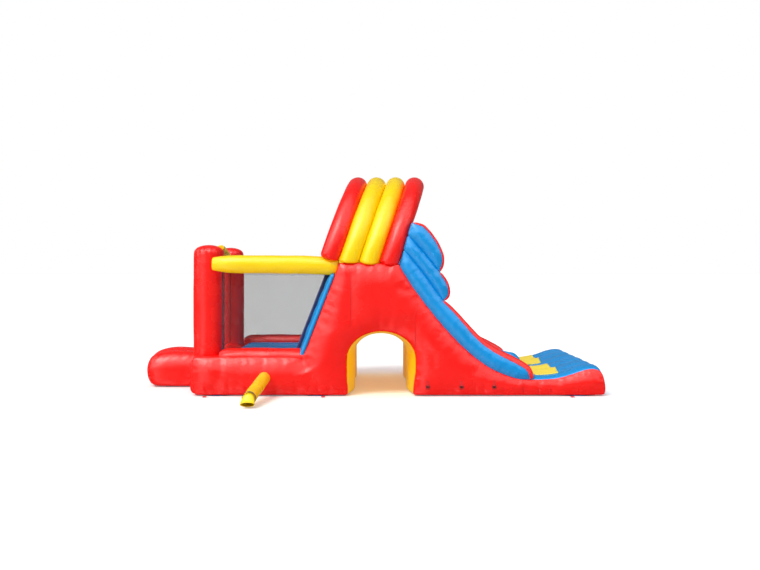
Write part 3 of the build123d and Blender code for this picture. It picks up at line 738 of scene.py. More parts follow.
def inflate(piece, voxel, reach, start, floor=None):
    """Blow a pad up with a short cloth simulation and keep the result in its mesh.

    In metres: voxel is the remesh size, start how far the skin is first drawn in, reach
    the most it may move, floor the lowest height allowed.
    """
    worker = bpy.data.objects.new("sim_" + piece.name, piece.data.copy())
    SCENE.collection.objects.link(worker)
    remesh = worker.modifiers.new("remesh", "REMESH")
    remesh.mode = "VOXEL"
    remesh.voxel_size = voxel
    graph = bpy.context.evaluated_depsgraph_get()
    mesh = bpy.data.meshes.new_from_object(worker.evaluated_get(graph))
    worker.modifiers.clear()
    worker.data = mesh
    first = mesh_array(mesh, "co") - mesh_array(mesh, "normal") * start
    mesh.vertices.foreach_set("co", first.ravel())
    mesh.update()

    simulation = worker.modifiers.new("cloth", "CLOTH")
    settings = simulation.settings
    settings.quality = 4
    settings.mass = 0.25
    settings.tension_stiffness = 12
    settings.compression_stiffness = 12
    settings.shear_stiffness = 4
    settings.bending_stiffness = 0.4
    settings.use_pressure = True
    settings.uniform_pressure_force = 4.0
    settings.effector_weights.gravity = 0
    simulation.collision_settings.use_collision = False
    simulation.point_cache.frame_start = 1
    simulation.point_cache.frame_end = INFLATE_FRAMES
    SCENE.frame_start, SCENE.frame_end = 1, INFLATE_FRAMES
    for f in range(1, INFLATE_FRAMES + 1):
        SCENE.frame_set(f)
    graph = bpy.context.evaluated_depsgraph_get()
    blown = mesh_array(worker.evaluated_get(graph).to_mesh(), "co")

    # soften the movement so that it never passes the reach
    move = blown - first
    length = np.maximum(np.sqrt((move ** 2).sum(1)), 1e-9)
    move *= (np.tanh(length / reach) * reach / length)[:, None]
    result = first + move
    if floor is not None:
        result[:, 2] = np.maximum(result[:, 2], floor)
    worker.modifiers.clear()
    mesh.vertices.foreach_set("co", result.ravel())
    mesh.update()
    for material in piece.data.materials:
        mesh.materials.append(material)
    for polygon in mesh.polygons:
        polygon.use_smooth = True
        polygon.material_index = 0
    bpy.data.objects.remove(worker)
    mesh.name = piece.name
    piece.data = mesh
    SCENE.frame_set(1)


# ---------------------------------------------------------------- red side panels
def side_outline():
    """Side view of the whole body: x, z."""
    entrance_end = [(-806, 16), (-832, 90), (-842, 240), (-838, 370), (-822, 444)]
    base_top = [(-822, 444), (-740, 449), (-640, 451), (-520, 453), (-400, 455), (-250, 457),
                (0, 458), (250, 456), (360, 452), (424, 440)]
    wall = [(424, 440)]
    wall += [(climb_back(z), z) for z in (560, 700, 850, 1000, 1150, 1300, 1400, 1480)]
    wall += [(853, 1536)]
    tower_top = [(853, 1536), (980, 1541), (1150, 1540), (1320, 1537), (1450, 1533),
                 (1552, 1530)]
    landing_end = [(3927, 207), (3944, 110), (3938, 16)]
    slide_foot = [(3938, 16), (3600, 13), (3200, 15), (2800, 12), (2400, 15), (2000, 12),
                  (1716, 14)]
    tunnel_slide_side = [(1716, 14), (1728, 120), (1745, 300), (1748, 431)]
    arch = [(TUNNEL_X + TUNNEL_HALF * cos(pi * k / 14),
             TUNNEL_SPRING + TUNNEL_RISE * sin(pi * k / 14)) for k in range(15)]
    tunnel_entrance_side = [(948, 431), (949, 300), (956, 130), (964, 14)]
    base_foot = [(964, 14), (700, 12), (400, 15), (0, 12), (-400, 15), (-700, 12), (-806, 16)]
    return chain(entrance_end, base_top, wall, tower_top, SEAM, landing_end, slide_foot,
                 tunnel_slide_side, arch, tunnel_entrance_side, base_foot)


# lines that draw the panel in: end, end (x, z), width, depth
SIDE_SEAMS = [
    ((995, 790), (995, 1520), 70, 24.0), ((1738, 700), (1738, 1230), 62, 20.0),
    ((1448, 1440), (1448, 1533), 20, 10.0), ((1500, 1270), (1725, 1190), 50, 12.0),
    ((424, 440), (500, 290), 80, 34.0), ((500, 290), (560, 150), 70, 16.0),
    ((-480, 300), (-620, 60), 70, 14.0), ((-480, 300), (-520, 440), 60, 10.0),
    ((1790, 600), (1935, 520), 40, 11.0), ((1935, 520), (1965, 300), 60, 12.0),
    ((700, 700), (780, 1100), 80, 10.0), ((2330, 330), (2700, 190), 90, 10.0),
    ((2990, 150), (2990, 40), 22, 8.0), ((3160, 150), (3160, 40), 22, 8.0),
    ((3305, 150), (3305, 40), 22, 8.0)]

# raised seam cords on the panel, their darker red a painted shade for the seam creases: x, z to
# x, z
SEAM_CORDS = [(995, 815, 995, 1505), (1738, 560, 1752, 1225), (2990, 45, 2992, 168),
              (3160, 45, 3160, 172), (3305, 45, 3304, 190)]

SIDE_NODES = {"near": ["base_side_near", "tower_leg", "slide_core"],
              "far": ["base_side_far", "landing_base"]}
SIDE_MIDDLE = (SEWN_Y + INNER_Y) / 2


def side_edge_bulge(x, z):
    if z < 60:
        return 0.0
    if x < -780:
        return 20.0
    if z < 520 and x < 430:
        return 10.0
    return 4.0


def side_limit(u, v, w):
    """Draws the cloth to the panel's plane round each side ring, and caps the swell."""
    held = HALF_W + 1.5 - SIDE_MIDDLE
    for ring_x, ring_z in RING_SPOTS:
        f = exp(-(hypot(u - ring_x, (v - ring_z) * 0.8) / 75.0) ** 2)
        if w > held:
            w = w * (1 - f) + held * f
        else:
            w = w + (held - w) * f * 0.9
    return min(w, HALF_W + 26.0 - SIDE_MIDDLE)


def build_side_panels():
    outline = side_outline()
    return {sign: pillow(
        "side_panel_" + tag, outline, upright(sign, SIDE_MIDDLE), half=(SEWN_Y - INNER_Y) / 2,
        bulges=(92.0, 0.0), material=RED, step=33.0, pucker=8.5, seed=seed,
        edge_bulge=side_edge_bulge, seams=SIDE_SEAMS, fullness=0.62, height_scale=22000.0,
        rim=(270.0, 0.22), limit=side_limit, nodes=SIDE_NODES[tag])
        for (sign, tag), seed in zip(SIDES, (2.0, 5.0))}


def build_seam_cords(panels):
    """Thin cords laid on the panels' outer surface, darker red to paint the shade in the seams.
    """
    for sign, tag in SIDES:
        bpy.context.view_layer.update()
        tree = BVHTree.FromObject(panels[sign], bpy.context.evaluated_depsgraph_get())
        for k, (xa, za, xb, zb) in enumerate(SEAM_CORDS):
            path = []
            for f in np.linspace(0, 1, 26):
                x, z = xa + (xb - xa) * f, za + (zb - za) * f
                origin = Vector((x / 1000.0, sign * 3.0, z / 1000.0))
                hit = tree.ray_cast(origin, Vector((0, -sign, 0)))[0]
                if hit is not None:
                    path.append((x, hit.y * 1000.0 + sign * 0.6, z))
            # a cord that mostly misses the panel is left out
            if len(path) > 5:
                tube("panel_seam_%s_%d" % (tag, k + 1), resample(path, 28), lambda s, t: 3.6,
                     SEAM_SHADE_RED, segments=10, wave=0.3, seed=3.0 + k, up=(1, 0, 0),
                     subdivide=False)


def build_base_rolls():
    """Rounded inner roll along the top of each side of the base."""
    def radius(s, total):
        return 118.0 * (0.72 + 0.28 * min(1.0, s / 90.0) ** 0.5)

    stations = [(-520, 432), (-440, 437), (0, 441), (400, 438), (520, 432)]     # x, z
    for sign, tag in SIDES:
        y = sign * (HALF_W - 186.0)
        tube("base_roll_" + tag, resample([(x, y, z) for x, z in stations], 26), radius, RED,
             segments=56, ends=("round", "flat"), gathers=(6.0, 2.0), seed=23.0 + sign,
             section=lambda s, total, a: (0.94, 1.06), folds=11, wave=2.6)


# ---------------------------------------------------------------- base
def build_entrance_bolster():
    """Rounded box across the entrance, swollen in five lobes."""
    x0, x1 = ENTRY_LO[0] + 52, ENTRY_HI[0]
    z0, z1 = 14, ENTRY_HI[2]
    sides, rows, lobes = 34, 64, 5
    power = 2.0 / 5.5           # squareness of the section
    verts = []
    for y in np.linspace(-SEWN_Y + 34, SEWN_Y - 34, rows):
        t = (y + SEWN_Y) / (2 * SEWN_Y) * lobes
        swell = abs(sin(pi * t)) ** 0.7 - 0.5 + 0.10 * ripple(y, 3.0, 4, 0.03)
        for i in range(sides):
            c, s = cos(2 * pi * i / sides), sin(2 * pi * i / sides)
            x = (x0 + x1) / 2 + (x1 - x0) / 2 * (1 + 0.04 * swell) * np.sign(c) * abs(c) ** power
            z = (z0 + z1) / 2 + (z1 - z0) / 2 * (1 + 0.05 * swell) * np.sign(s) * abs(s) ** power
            verts.append((x, y, max(z, 13)))
    faces = grid_faces(rows, sides, close_v=True)
    faces += [tuple(range(sides)), tuple(reversed(range((rows - 1) * sides, rows * sides)))]
    make("entrance_bolster", verts, faces, RED, nodes=["base_entrance"])


def build_bounce_floor():
    x0, x1, z = FLOOR_LO[0] - 2, FLOOR_HI[0] - 10, FLOOR_HI[2]
    line = resample([(x0, z - 34), (x0 + 60, z - 26), (x1 - 60, z - 26), (x1, z - 34)], 45)
    strip_mat("bounce_floor_mat", line, FLOOR_LO[1] - 20, FLOOR_HI[1] + 20, channels=7,
              bulge=34, depth=60, material=BLUE, seed=4.0, nodes=["bounce_floor"])


def build_ties(name, node):
    """Ties inside a chamber, drawn in from their CAD shape so that they stay hidden."""
    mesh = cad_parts[node].data
    verts = np.array([tuple(v.co) for v in mesh.vertices]) * 1000.0
    verts[:, 2] = 20.0 + (verts[:, 2] - 20.0) * 0.86
    middle = verts[:, 0].mean()
    verts[:, 0] = middle + (verts[:, 0] - middle) * 0.985
    make(name, verts, [tuple(p.vertices) for p in mesh.polygons], WHITE, nodes=[node],
         smooth=False, subdivide=False, merge=0.01)


def build_entrance_step():
    x0, x1 = STEP_LO[0] - 22, STEP_HI[0] + 100
    half_w = STEP_HI[1] - 4
    middle_z = 205.0
    # near half of the plan from the base out to the tip: x, y
    near = [(x1, -half_w + 4), (x1 - 200, -half_w), (x0 + 190, -half_w),
            (x0 + 70, -half_w + 45), (x0 + 14, -half_w + 150), (x0, -half_w + 320)]
    rounded = near + [(x0 - 2, 0)] + [(x, -y) for x, y in reversed(near)]
    outline = chain(rounded, [(x1, half_w - 4), (x1, 0), (x1, -half_w + 4)])

    def place(u, v, w):
        z = middle_z + w
        if w > 0:
            # three lengthwise bulges, the middle one highest, and a lower outer end
            t = (v + half_w) / (2 * half_w) * 3
            b = abs(sin(pi * t)) ** 0.55
            lobe = 1.0 if 1 <= t <= 2 else 0.86
            end = 1 - 0.10 * exp(-((u - x0) / 160.0) ** 2)
            z = middle_z + w * (0.86 + 0.14 * b) * (0.80 + 0.20 * lobe) * end
            z += 2.5 * ripple(u * 0.09 + round(t) * 7, 3.0, 4, 1.0) * (1 - b)
        return (u, v, max(z, 13.0))

    pad = pillow("entrance_step_cushion", outline, place, half=124.0, bulges=(134.0, 112.0),
                 material=RED, step=28.0, pucker=8.0, seed=6.0,
                 edge_bulge=lambda x, y: 22.0 if x < x1 - 20 else 0.0, edge_rows=7,
                 fullness=0.36, nodes=["entrance_step"])
    inflate(pad, voxel=0.018, reach=0.014, start=0.006, floor=0.010)


# ---------------------------------------------------------------- posts and bars
def build_corner_posts():
    post_radius = (POST_HI[0] - POST_LO[0]) / 2

    def radius(s, total):
        return (post_radius * (1.035 + 0.015 * sin(pi * s / total))
                - 5 * exp(-(total - s) / 45.0) + 3 * exp(-s / 60.0))

    for sign, tag in SIDES:
        y = sign * (POST_Y + 14)
        path = resample([(POST_X, y, POST_LO[2] - 34), (POST_X, y, POST_HI[2] - 76)], 30)
        post = tube("corner_post_" + tag, path, radius, RED, segments=56,
                    ends=("flat", "dome"), gathers=(5.0, 7.0), seed=1.0 + sign,
                    up=(1, 0, 0), folds=18, nodes=["post_" + tag])
        inflate(post, voxel=0.015, reach=0.009, start=0.002)


def build_top_bars():
    """Yellow bars from the corner posts to the tower."""
    bar_radius = (BAR_HI[1] - BAR_LO[1]) / 2
    bar_y = abs((BAR_HI[1] + BAR_LO[1]) / 2)
    bar_z = 1524.0

    def radius(s, total):
        start = min(1.0, (s / 330.0)) ** 0.55
        end = max(0.0, 1 - (total - s) / 150.0)
        return bar_radius * (0.80 + 0.20 * start) * (1 - 0.10 * end * end)

    def section(s, total, a):
        start = max(0.0, 1 - s / 210.0)
        end = max(0.0, 1 - (total - s) / 90.0)
        return (1.0 - 0.14 * start), (1.0 - 0.62 * start * start) * (1 - 0.25 * end)

    for sign, tag in SIDES:
        y = sign * bar_y
        path = resample([(BAR_LO[0] + 6, y - sign * 22, bar_z + 10),
                         (BAR_LO[0] + 70, y - sign * 10, bar_z + 8),
                         (-420, y, bar_z + 3), (0, y, bar_z), (450, y, bar_z - 3),
                         (700, y, bar_z - 14), (848, y, bar_z - 34)], 30)
        bar = tube("top_bar_" + tag, path, radius, YELLOW, segments=44, ends=("flat", "flat"),
                   gathers=(7.0, 4.0), seed=3.0 + sign, section=section, folds=12,
                   nodes=["side_bar_" + tag])
        inflate(bar, voxel=0.014, reach=0.009, start=0.005)


def build_entrance_bar():
    """Bar between the posts, rising and thinner toward the near one."""
    bar_radius = (ENTRY_BAR_HI[0] - ENTRY_BAR_LO[0]) / 2
    bar_z = (ENTRY_BAR_HI[2] + ENTRY_BAR_LO[2]) / 2
    path = []
    for f in np.linspace(-1, 1, 41):
        lift = max(0.0, (0.35 - f) / 1.35)
        path.append((POST_X + 6 + 132 * lift ** 0.45, f * (POST_Y - 4),
                     bar_z + 150 * lift ** 0.9))

    def radius(s, total):
        thin = max(0.0, 1 - s / (total * 0.66))
        return (bar_radius * (0.80 - 0.30 * thin ** 0.8)
                * (0.86 + 0.14 * min(1.0, (total - s) / 200.0)))

    def section(s, total, a):
        return 1 - 0.25 * max(0.0, 1 - min(s, total - s) / 240.0), 1.0

    tube("entrance_top_bar", resample(path, 34), radius, YELLOW, ends=("flat", "flat"),
         gathers=(5.0, 5.0), seed=8.0, section=section, folds=11, nodes=["entrance_bar"])


def build_ring_shade_pads():
    """Small black pads with rounded corners behind the side rings: painted shade, a dark patch
    standing in for the shadow inside each ring.
    """
    n = 9
    for sign, tag in SIDES:
        for i, (ring_x, ring_z) in enumerate(RING_SPOTS):
            verts = []
            for outer in (True, False):
                for u in np.linspace(-1, 1, n):
                    for v in np.linspace(-1, 1, n):
                        square = max(abs(u), abs(v))
                        rounded = (abs(u) ** 4 + abs(v) ** 4) ** 0.25
                        pull = 0.86 + 0.14 * (square / rounded if rounded > 0 else 1.0)
                        proud = 6.5 - 1.2 * square ** 6 if outer else -3
                        verts.append((ring_x + 17 * u * pull, sign * (HALF_W + proud),
                                      ring_z - 2 + 18 * v * pull))
            # black pad: painted shade inside the ring
            make("ring_pad_%s_%d" % (tag, i + 1), verts, slab_faces(n, n), BLACK_WEB,
                 subdivide=False)


# ---------------------------------------------------------------- climbing wall
CLIMB_Z0, CLIMB_Z1 = 462.0, 1402.0
CLIMB_DX = climb_back(CLIMB_Z1) - climb_back(CLIMB_Z0)
CLIMB_LENGTH = sqrt((CLIMB_Z1 - CLIMB_Z0) ** 2 + CLIMB_DX ** 2)
CLIMB_UP = np.array([CLIMB_DX / CLIMB_LENGTH, (CLIMB_Z1 - CLIMB_Z0) / CLIMB_LENGTH])
CLIMB_OUT = np.array([-CLIMB_UP[1], CLIMB_UP[0]])


def on_wall(u, v, w):
    """u across, v up the slope, w out of the wall."""
    x = climb_back(CLIMB_Z0) + CLIMB_UP[0] * v + CLIMB_OUT[0] * (w + 24)
    z = CLIMB_Z0 + CLIMB_UP[1] * v + CLIMB_OUT[1] * (w + 24)
    return (x, u, z)


def build_climbing_wall():
    half_w = SEWN_Y - 3
    corners = [(-half_w, 0), (half_w, 0), (half_w, CLIMB_LENGTH), (-half_w, CLIMB_LENGTH)]
    seam_heights = [CLIMB_LENGTH * k / 5 for k in (1, 2, 3, 4)]
    pillow("climbing_wall_pad", chain(*zip(corners, corners[1:] + corners[:1])), on_wall,
           half=22.0, bulges=(46.0, 0.0), material=BLUE, step=40.0, pucker=4.0, seed=3.0,
           edge_bulge=lambda u, v: 9.0, edge_rows=4, fullness=0.32,
           seams=[((-half_w, v), (half_w, v), 34, 26.0) for v in seam_heights],
           nodes=["climbing_wall"])

    for i, v in enumerate((170, 400, 630, 860)):
        path = [on_wall(u, v * 0.985, w) for u, w in ((-352, 50), (0, 54), (352, 50))]
        tube("climb_step_%d" % (i + 1), resample(path, 40),
             lambda s, total: 33.0 + 7.0 * min(1.0, min(s, total - s) / 60.0), YELLOW,
             segments=26, gathers=(3.5, 3.5), seed=9.0 + i, folds=8,
             nodes=["climb_steps"] if i == 0 else ())


# ---------------------------------------------------------------- tower
def build_tower_platform():
    z = BRIDGE_HI[2]
    line = resample([(BRIDGE_LO[0] + 235, z - 34), (1670, z - 34)], 45)
    strip_mat("tower_platform_pad", line, -INNER_Y - 12, INNER_Y + 12, channels=6, bulge=34,
              depth=70, material=BLUE, seed=7.0, nodes=["tower_bridge"])
    for sign, tag in SIDES:
        y = sign * (INNER_Y + 46)
        path = resample([(SILL_LO[0] + 10, y, z + 74), (SILL_HI[0] - 6, y, z + 74)], 40)
        tube("platform_sill_" + tag, path,
             lambda s, total: 74.0 + 4 * sin(3 * pi * s / total) ** 2, RED, segments=34,
             gathers=(4, 4), seed=4.0 + sign, nodes=["platform_sills"] if sign < 0 else ())


def build_tunnel_lining():
    """Arched lining, swollen into two channels across the tunnel's length."""
    left, right = TUNNEL_X - TUNNEL_HALF + 4, TUNNEL_X + TUNNEL_HALF - 4
    wall_z = (16, 120, 240, 350)
    line = [(left, z) for z in wall_z]
    line += [(TUNNEL_X - (TUNNEL_HALF - 4) * cos(pi * k / 16),
              TUNNEL_SPRING + (TUNNEL_RISE - 4) * sin(pi * k / 16)) for k in range(17)]
    line += [(right, z) for z in reversed(wall_z)]
    line = resample(line, 40)
    inward = right_normals(line)
    half_w = SEWN_Y - 8
    ys = np.linspace(-half_w, half_w, 97)
    verts = []
    for i, (x, z) in enumerate(line):
        # the straight sides swell more than the crown
        side = min(1.0, max(0.0, 1 - (z - TUNNEL_SPRING) / (TUNNEL_RISE * 0.9)))
        for y in ys:
            t = (y + half_w) / (2 * half_w) * 2
            b = abs(sin(pi * t)) ** 0.5
            from_end = half_w - abs(y)
            w = 2 + (48 + 34 * side) * b * min(1.0, from_end / 420.0) ** 0.5
            w += (2.6 * ripple(i * 0.55, 2.0 + round(t), 4, 1.0) * (1 - b)
                  * min(1.0, from_end / 80.0))
            verts.append((x + inward[i][0] * w, y, max(z + inward[i][1] * w, 14)))
    for i, (x, z) in enumerate(line):
        verts += [(x - inward[i][0] * 2, y, max(z - inward[i][1] * 2, 14)) for y in ys]
    make("tunnel_lining_pad", verts, slab_faces(len(line), len(ys)), LINING,
         nodes=["tunnel_lining"])


# ---------------------------------------------------------------- hood
HOOD_RADIUS = 110.0
HOOD_PITCH = 237.0              # between neighbouring arches
HOOD_X, HOOD_Z = 728.0, 1548.0  # foot of the first arch
HOOD_HALF_W = 1325.0
HOOD_TOP = 2519.0
HOOD_LEAN = tan(radians(19.3))


def hood_path(n):
    """Centre line of arch n, a leaning superellipse cut level at its feet."""
    rise = HOOD_TOP - HOOD_Z + 60
    power = 2.0 / 2.35
    points = []
    for k in range(49):
        c, s = cos(pi * k / 48), sin(pi * k / 48)
        y = -HOOD_HALF_W * (1 if c > 0 else -1) * abs(c) ** power
        h = rise * max(s, 0.0) ** power - 60
        points.append((HOOD_X + n * HOOD_PITCH + h * HOOD_LEAN, y, HOOD_Z + h))
    p = np.array(points)
    foot = 1588.0 if n == 0 else 1516.0
    keep = p[:, 2] > foot + 12
    first, last = np.where(keep)[0][[0, -1]]

    def cut(below, above):
        f = (foot - below[2]) / (above[2] - below[2])
        return below + (above - below) * f

    ends = cut(p[first - 1], p[first]), cut(p[last + 1], p[last])
    return resample(np.vstack([ends[0], p[keep], ends[1]]), 36)


def build_hood():
    def section(s, total, a):
        # squeezed against its neighbours, so the row reads as one quilted hood
        return 1.0 + 0.035 * abs(cos(a)) ** 6, 1.0

    for n, material in enumerate((RED, YELLOW, YELLOW, RED)):
        def radius(s, total):
            end = min(s, total - s)
            taper = 6 * exp(-end / 30.0) if n == 0 else 0.0
            return HOOD_RADIUS * 1.045 * (0.985 + 0.015 * min(1.0, end / 160.0)) - taper

        arch = tube("hood_arch_%d" % (n + 1), hood_path(n), radius, material, segments=44,
                    ends=("flat", "flat"), gathers=(6, 6), seed=11.0 + n, section=section,
                    up=(1, 0, 0), folds=13, nodes=["hood_tube_%d" % (n + 1)])
        # the feet are pressed onto what they stand on
        for vertex in arch.data.vertices:
            ledge = float(np.interp(vertex.co.x * 1000.0, [860, 884, 1333, 1542],
                                    [1567, 1550, 1517, 1521])) / 1000.0
            if vertex.co.z < ledge:
                vertex.co.z = ledge - 0.02 * (ledge - vertex.co.z)
        inflate(arch, voxel=0.018, reach=0.009, start=0.001)


# ---------------------------------------------------------------- slide guards
GUARD_INNER_Y, GUARD_OUTER_Y = 1211.0, HALF_W - 5
GUARD_Y = (GUARD_INNER_Y + HALF_W - 5) / 2
GUARD_HALF = 60.0
GUARD_BULGE = (GUARD_OUTER_Y - GUARD_INNER_Y) / 2 - GUARD_HALF + 4

# open edges of the three tubes of each guard, without their end points: x, z
LOWER_EDGE = [(2213, 963), (2389, 769), (2477, 681), (2590, 590), (2706, 523), (2918, 417),
              (3041, 342), (3088, 270)]
MIDDLE_EDGE = [(2107, 1315), (2133, 1210), (2118, 1145)]
UPPER_EDGE = [(1790, 1986), (1861, 1948), (1984, 1791), (2056, 1632), (2058, 1530)]


def guard_parts():
    """For each tube: name, seed, outline, cap line, cap lap, lap growth, cap crown."""
    foot = offset_line(smooth_line(SEAM, 33), 14)
    foot = [tuple(p) for p in foot if 1575 < p[0] < 3070]
    lower = chain([(1566, 1508), (1612, 1697)],
                  [(1612, 1697), (1850, 1405), (2062, 1106)],
                  [(2062, 1106)] + LOWER_EDGE + [(3096, 196)],
                  [(3096, 196)] + foot[::-1][2:] + [(1566, 1508)])
    middle = chain([(1612, 1697), (1660, 1863)],
                   [(1660, 1863), (1860, 1640), (2020, 1438)],
                   [(2020, 1438)] + MIDDLE_EDGE + [(2066, 1104)],
                   [(2066, 1104), (1850, 1405), (1612, 1697)])
    upper = chain([(1660, 1863), (1706, 2010)],
                  [(1706, 2010)] + UPPER_EDGE + [(2022, 1438)],
                  [(2022, 1438), (1860, 1640), (1660, 1863)])
    return [
        ("lower", 18.0, lower, [(2066, 1104)] + LOWER_EDGE + [(3100, 205)], 6.0, 30.0, 17.0),
        ("middle", 19.0, middle, [(2028, 1432)] + MIDDLE_EDGE + [(2074, 1104)], 5.0, 0.0, 15.0),
        ("upper", 18.0, upper, [(1722, 2006)] + UPPER_EDGE + [(2028, 1440)], 5.0, 0.0, 15.0)]


def cap_profile(lap, crown, end):
    """Section of a cap from its outer edge to its inner one: sideways, outward."""
    lapped = []
    for k in range(4):
        down = lap * (1 - k / 3.0)
        swell = 1 - (1 - min(1.0, down / 150.0)) ** 2
        lapped.append((GUARD_HALF + GUARD_BULGE * swell * 0.9 + 7.0 * end, -down))
    crest = []
    for k in range(1, 10):
        f = 1 - k / 5.0
        crest.append((f * (GUARD_HALF + 7.0 * end),
                      3.0 + crown * sqrt(max(0.0, 1 - f * f)) * end))
    return lapped + crest + [(-across, out) for across, out in reversed(lapped)]


def build_guard_cap(name, sign, cap_line, lap, growth, crown, nodes):
    """Red face along the open edge of a tube, carried a little way over its sides."""
    line = smooth_line(cap_line, 30)
    outward = -right_normals(line)
    run = run_lengths(line)
    verts = []
    for layer in (0, 1):
        for i, (x, z) in enumerate(line):
            end = min(1.0, min(run[i], run[-1] - run[i]) / 40.0) ** 0.5
            profile = cap_profile(lap + growth * min(1.0, run[i] / 900.0), crown, end)
            for across, out in profile:
                w = out - 5.0 * layer
                w += 1.4 * end * ripple(run[i] * 0.05 + across * 0.02, 5.0 + sign, 3, 1.0)
                y = sign * (GUARD_Y + across * (1 - 0.03 * layer))
                verts.append((x + outward[i][0] * w, y, z + outward[i][1] * w))
    make(name, verts, slab_faces(len(line), len(profile)), RED, nodes=nodes)


def build_guards():
    parts = guard_parts()
    for sign, tag in SIDES:
        for part, seed, outline, cap_line, lap, growth, crown in parts:
            pillow("guard_%s_tube_%s" % (part, tag), outline, upright(sign, GUARD_Y),
                   half=GUARD_HALF, bulges=(GUARD_BULGE, GUARD_BULGE), material=BLUE,
                   step=30.0, pucker=7.0, seed=seed + sign, edge_bulge=lambda x, z: 9.0,
                   edge_rows=5, rim=(150.0, 0.2), nodes=["guard_%s_%s" % (part, tag)])
            build_guard_cap("guard_%s_cap_%s" % (part, tag), sign, cap_line, lap, growth,
                            crown, ["guard_caps"] if part == "lower" and sign < 0 else ())


# ---------------------------------------------------------------- slide
def build_slide():
    bed = smooth_line([p for p in SEAM if 1640 <= p[0] <= 2900], 36)
    strip_mat("slide_lanes", offset_line(bed, 44), -INNER_Y - 18, INNER_Y + 18, channels=8,
              bulge=38, depth=60, material=BLUE, seed=5.0, end_fade=20, nodes=["slide_bed"])

    bottom = offset_line(smooth_line(SEAM, 33), 20)
    bottom = [tuple(p) for p in bottom if 1745 < p[0] < 3090]
    top = offset_line(smooth_line(SEAM, 60), -176)
    top = [tuple(p) for p in top if 1800 < p[0] < 3080]
    outline = chain([bottom[0], top[0]], top,
                    [top[-1], (3122, 300), (3124, 250), bottom[-1]], bottom[::-1])
    pillow("slide_divider_tube", outline, upright(1, 0.0), half=48.0, bulges=(58.0, 58.0),
           material=BLUE, step=32.0, pucker=5.0, seed=21.0, edge_bulge=lambda x, z: 26.0,
           nodes=["slide_divider"])


# ---------------------------------------------------------------- landing
LANDING_SEAM = [p for p in SEAM if p[0] >= 2829]
LANDING_CHANNELS = 6
LANDING_BULGE = 25
LANDING_HALF_W = SEWN_Y + 6


def landing_crown(x, y):
    """Height of the mat's crown, tied down at the sides and low round the end."""
    inside = min(1.0, (HALF_W - abs(y)) / 260.0)
    return 12.0 * (max(inside, 0.0) ** 0.5) * (1.0 if x < 3880 else 0.3)


def build_landing_mat():
    line = smooth_line(LANDING_SEAM, 34)
    end = [(3893, 262), (3904, 205), (3908, 120), (3903, 20)]
    line = resample(np.vstack([line[line[:, 0] < 3880], end]), 34)
    strip_mat("landing_air_mat", line, -LANDING_HALF_W, LANDING_HALF_W,
              channels=LANDING_CHANNELS, bulge=LANDING_BULGE, depth=60, material=BLUE,
              seed=8.0, end_fade=14, crown=landing_crown, pucker=4.0, nodes=["landing_mat"])


def build_landing_patch(name, y0, y1, nodes=()):
    """Yellow sheet on the mat, its +X edge slanting out, stepping back, then out again."""
    start_x = 3150
    first_half, second_half = (3430, 3490), (3446, 3472)    # x of the +X edge
    rows, columns = 34, 16
    line = smooth_line(LANDING_SEAM, 20)
    up = -right_normals(line)
    middle = (y0 + y1) / 2
    verts = []
    for lift in (7.5, -2.0):
        for y in np.linspace(y0, y1, rows):
            if y < middle:
                f, (a, b) = (y - y0) / (middle - y0), first_half
            else:
                f, (a, b) = (y - middle) / (y1 - middle), second_half
            end_x = a + (b - a) * f
            t = (y + LANDING_HALF_W) / (2 * LANDING_HALF_W) * LANDING_CHANNELS
            for i in range(columns):
                x = start_x + (end_x - start_x) * i / (columns - 1)
                z = float(np.interp(x, line[:, 0], line[:, 1]))
                k = int(np.argmin(abs(line[:, 0] - x)))
                w = LANDING_BULGE * channel_swell(t) + landing_crown(x, y) + lift
                verts.append((x + up[k][0] * w, y, z + up[k][1] * w))
    make(name, verts, slab_faces(rows, columns), PATCH, nodes=nodes, subdivide=False)


# ---------------------------------------------------------------- inflation sleeve
def build_sleeve():
    """Tube out of the near side, drawn in near its open end, which is pressed flat."""
    start = np.array((0.0, -(SEWN_Y - 20), 219.0))
    bend = np.array((-2.0, -1540.0, 215.0))
    end = np.array((-76.0, -2500.0, 82.0))
    path = resample([start, bend, bend + (end - bend) * 0.35 + np.array((2, 0, -3)),
                     bend + (end - bend) * 0.7 + np.array((-2, 0, -4)), end], 26)

    def radius(s, total):
        left = total - s
        tie = 5.0 * exp(-((left - 98.0) / 20.0) ** 2)
        return 71.0 + 2.5 * exp(-s / 40.0) - tie + 1.5 * exp(-left / 14.0)

    sleeve = tube("inflation_sleeve_tube", path, radius, YELLOW, segments=36,
                  ends=("flat", "open"), gathers=(4.0, 3.0), seed=17.0, folds=10, wave=2.0,
                  body=None, subdivide=False, nodes=["inflation_sleeve"])
    ground = 0.020
    for vertex in sleeve.data.vertices:
        f = min(1.0, max(0.0, (-2.425 - vertex.co.y) / 0.075))
        if f > 0:
            f = f * f * (3 - 2 * f)
            vertex.co.z = ground + (vertex.co.z - ground) * (1 - 0.66 * f)
            vertex.co.x = -0.074 + (vertex.co.x + 0.074) * (1 + 0.10 * f)
    solid = sleeve.modifiers.new("Solid", "SOLIDIFY")
    solid.thickness = 0.002
    solid.offset = -1
    add_subsurf(sleeve)
    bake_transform(sleeve)


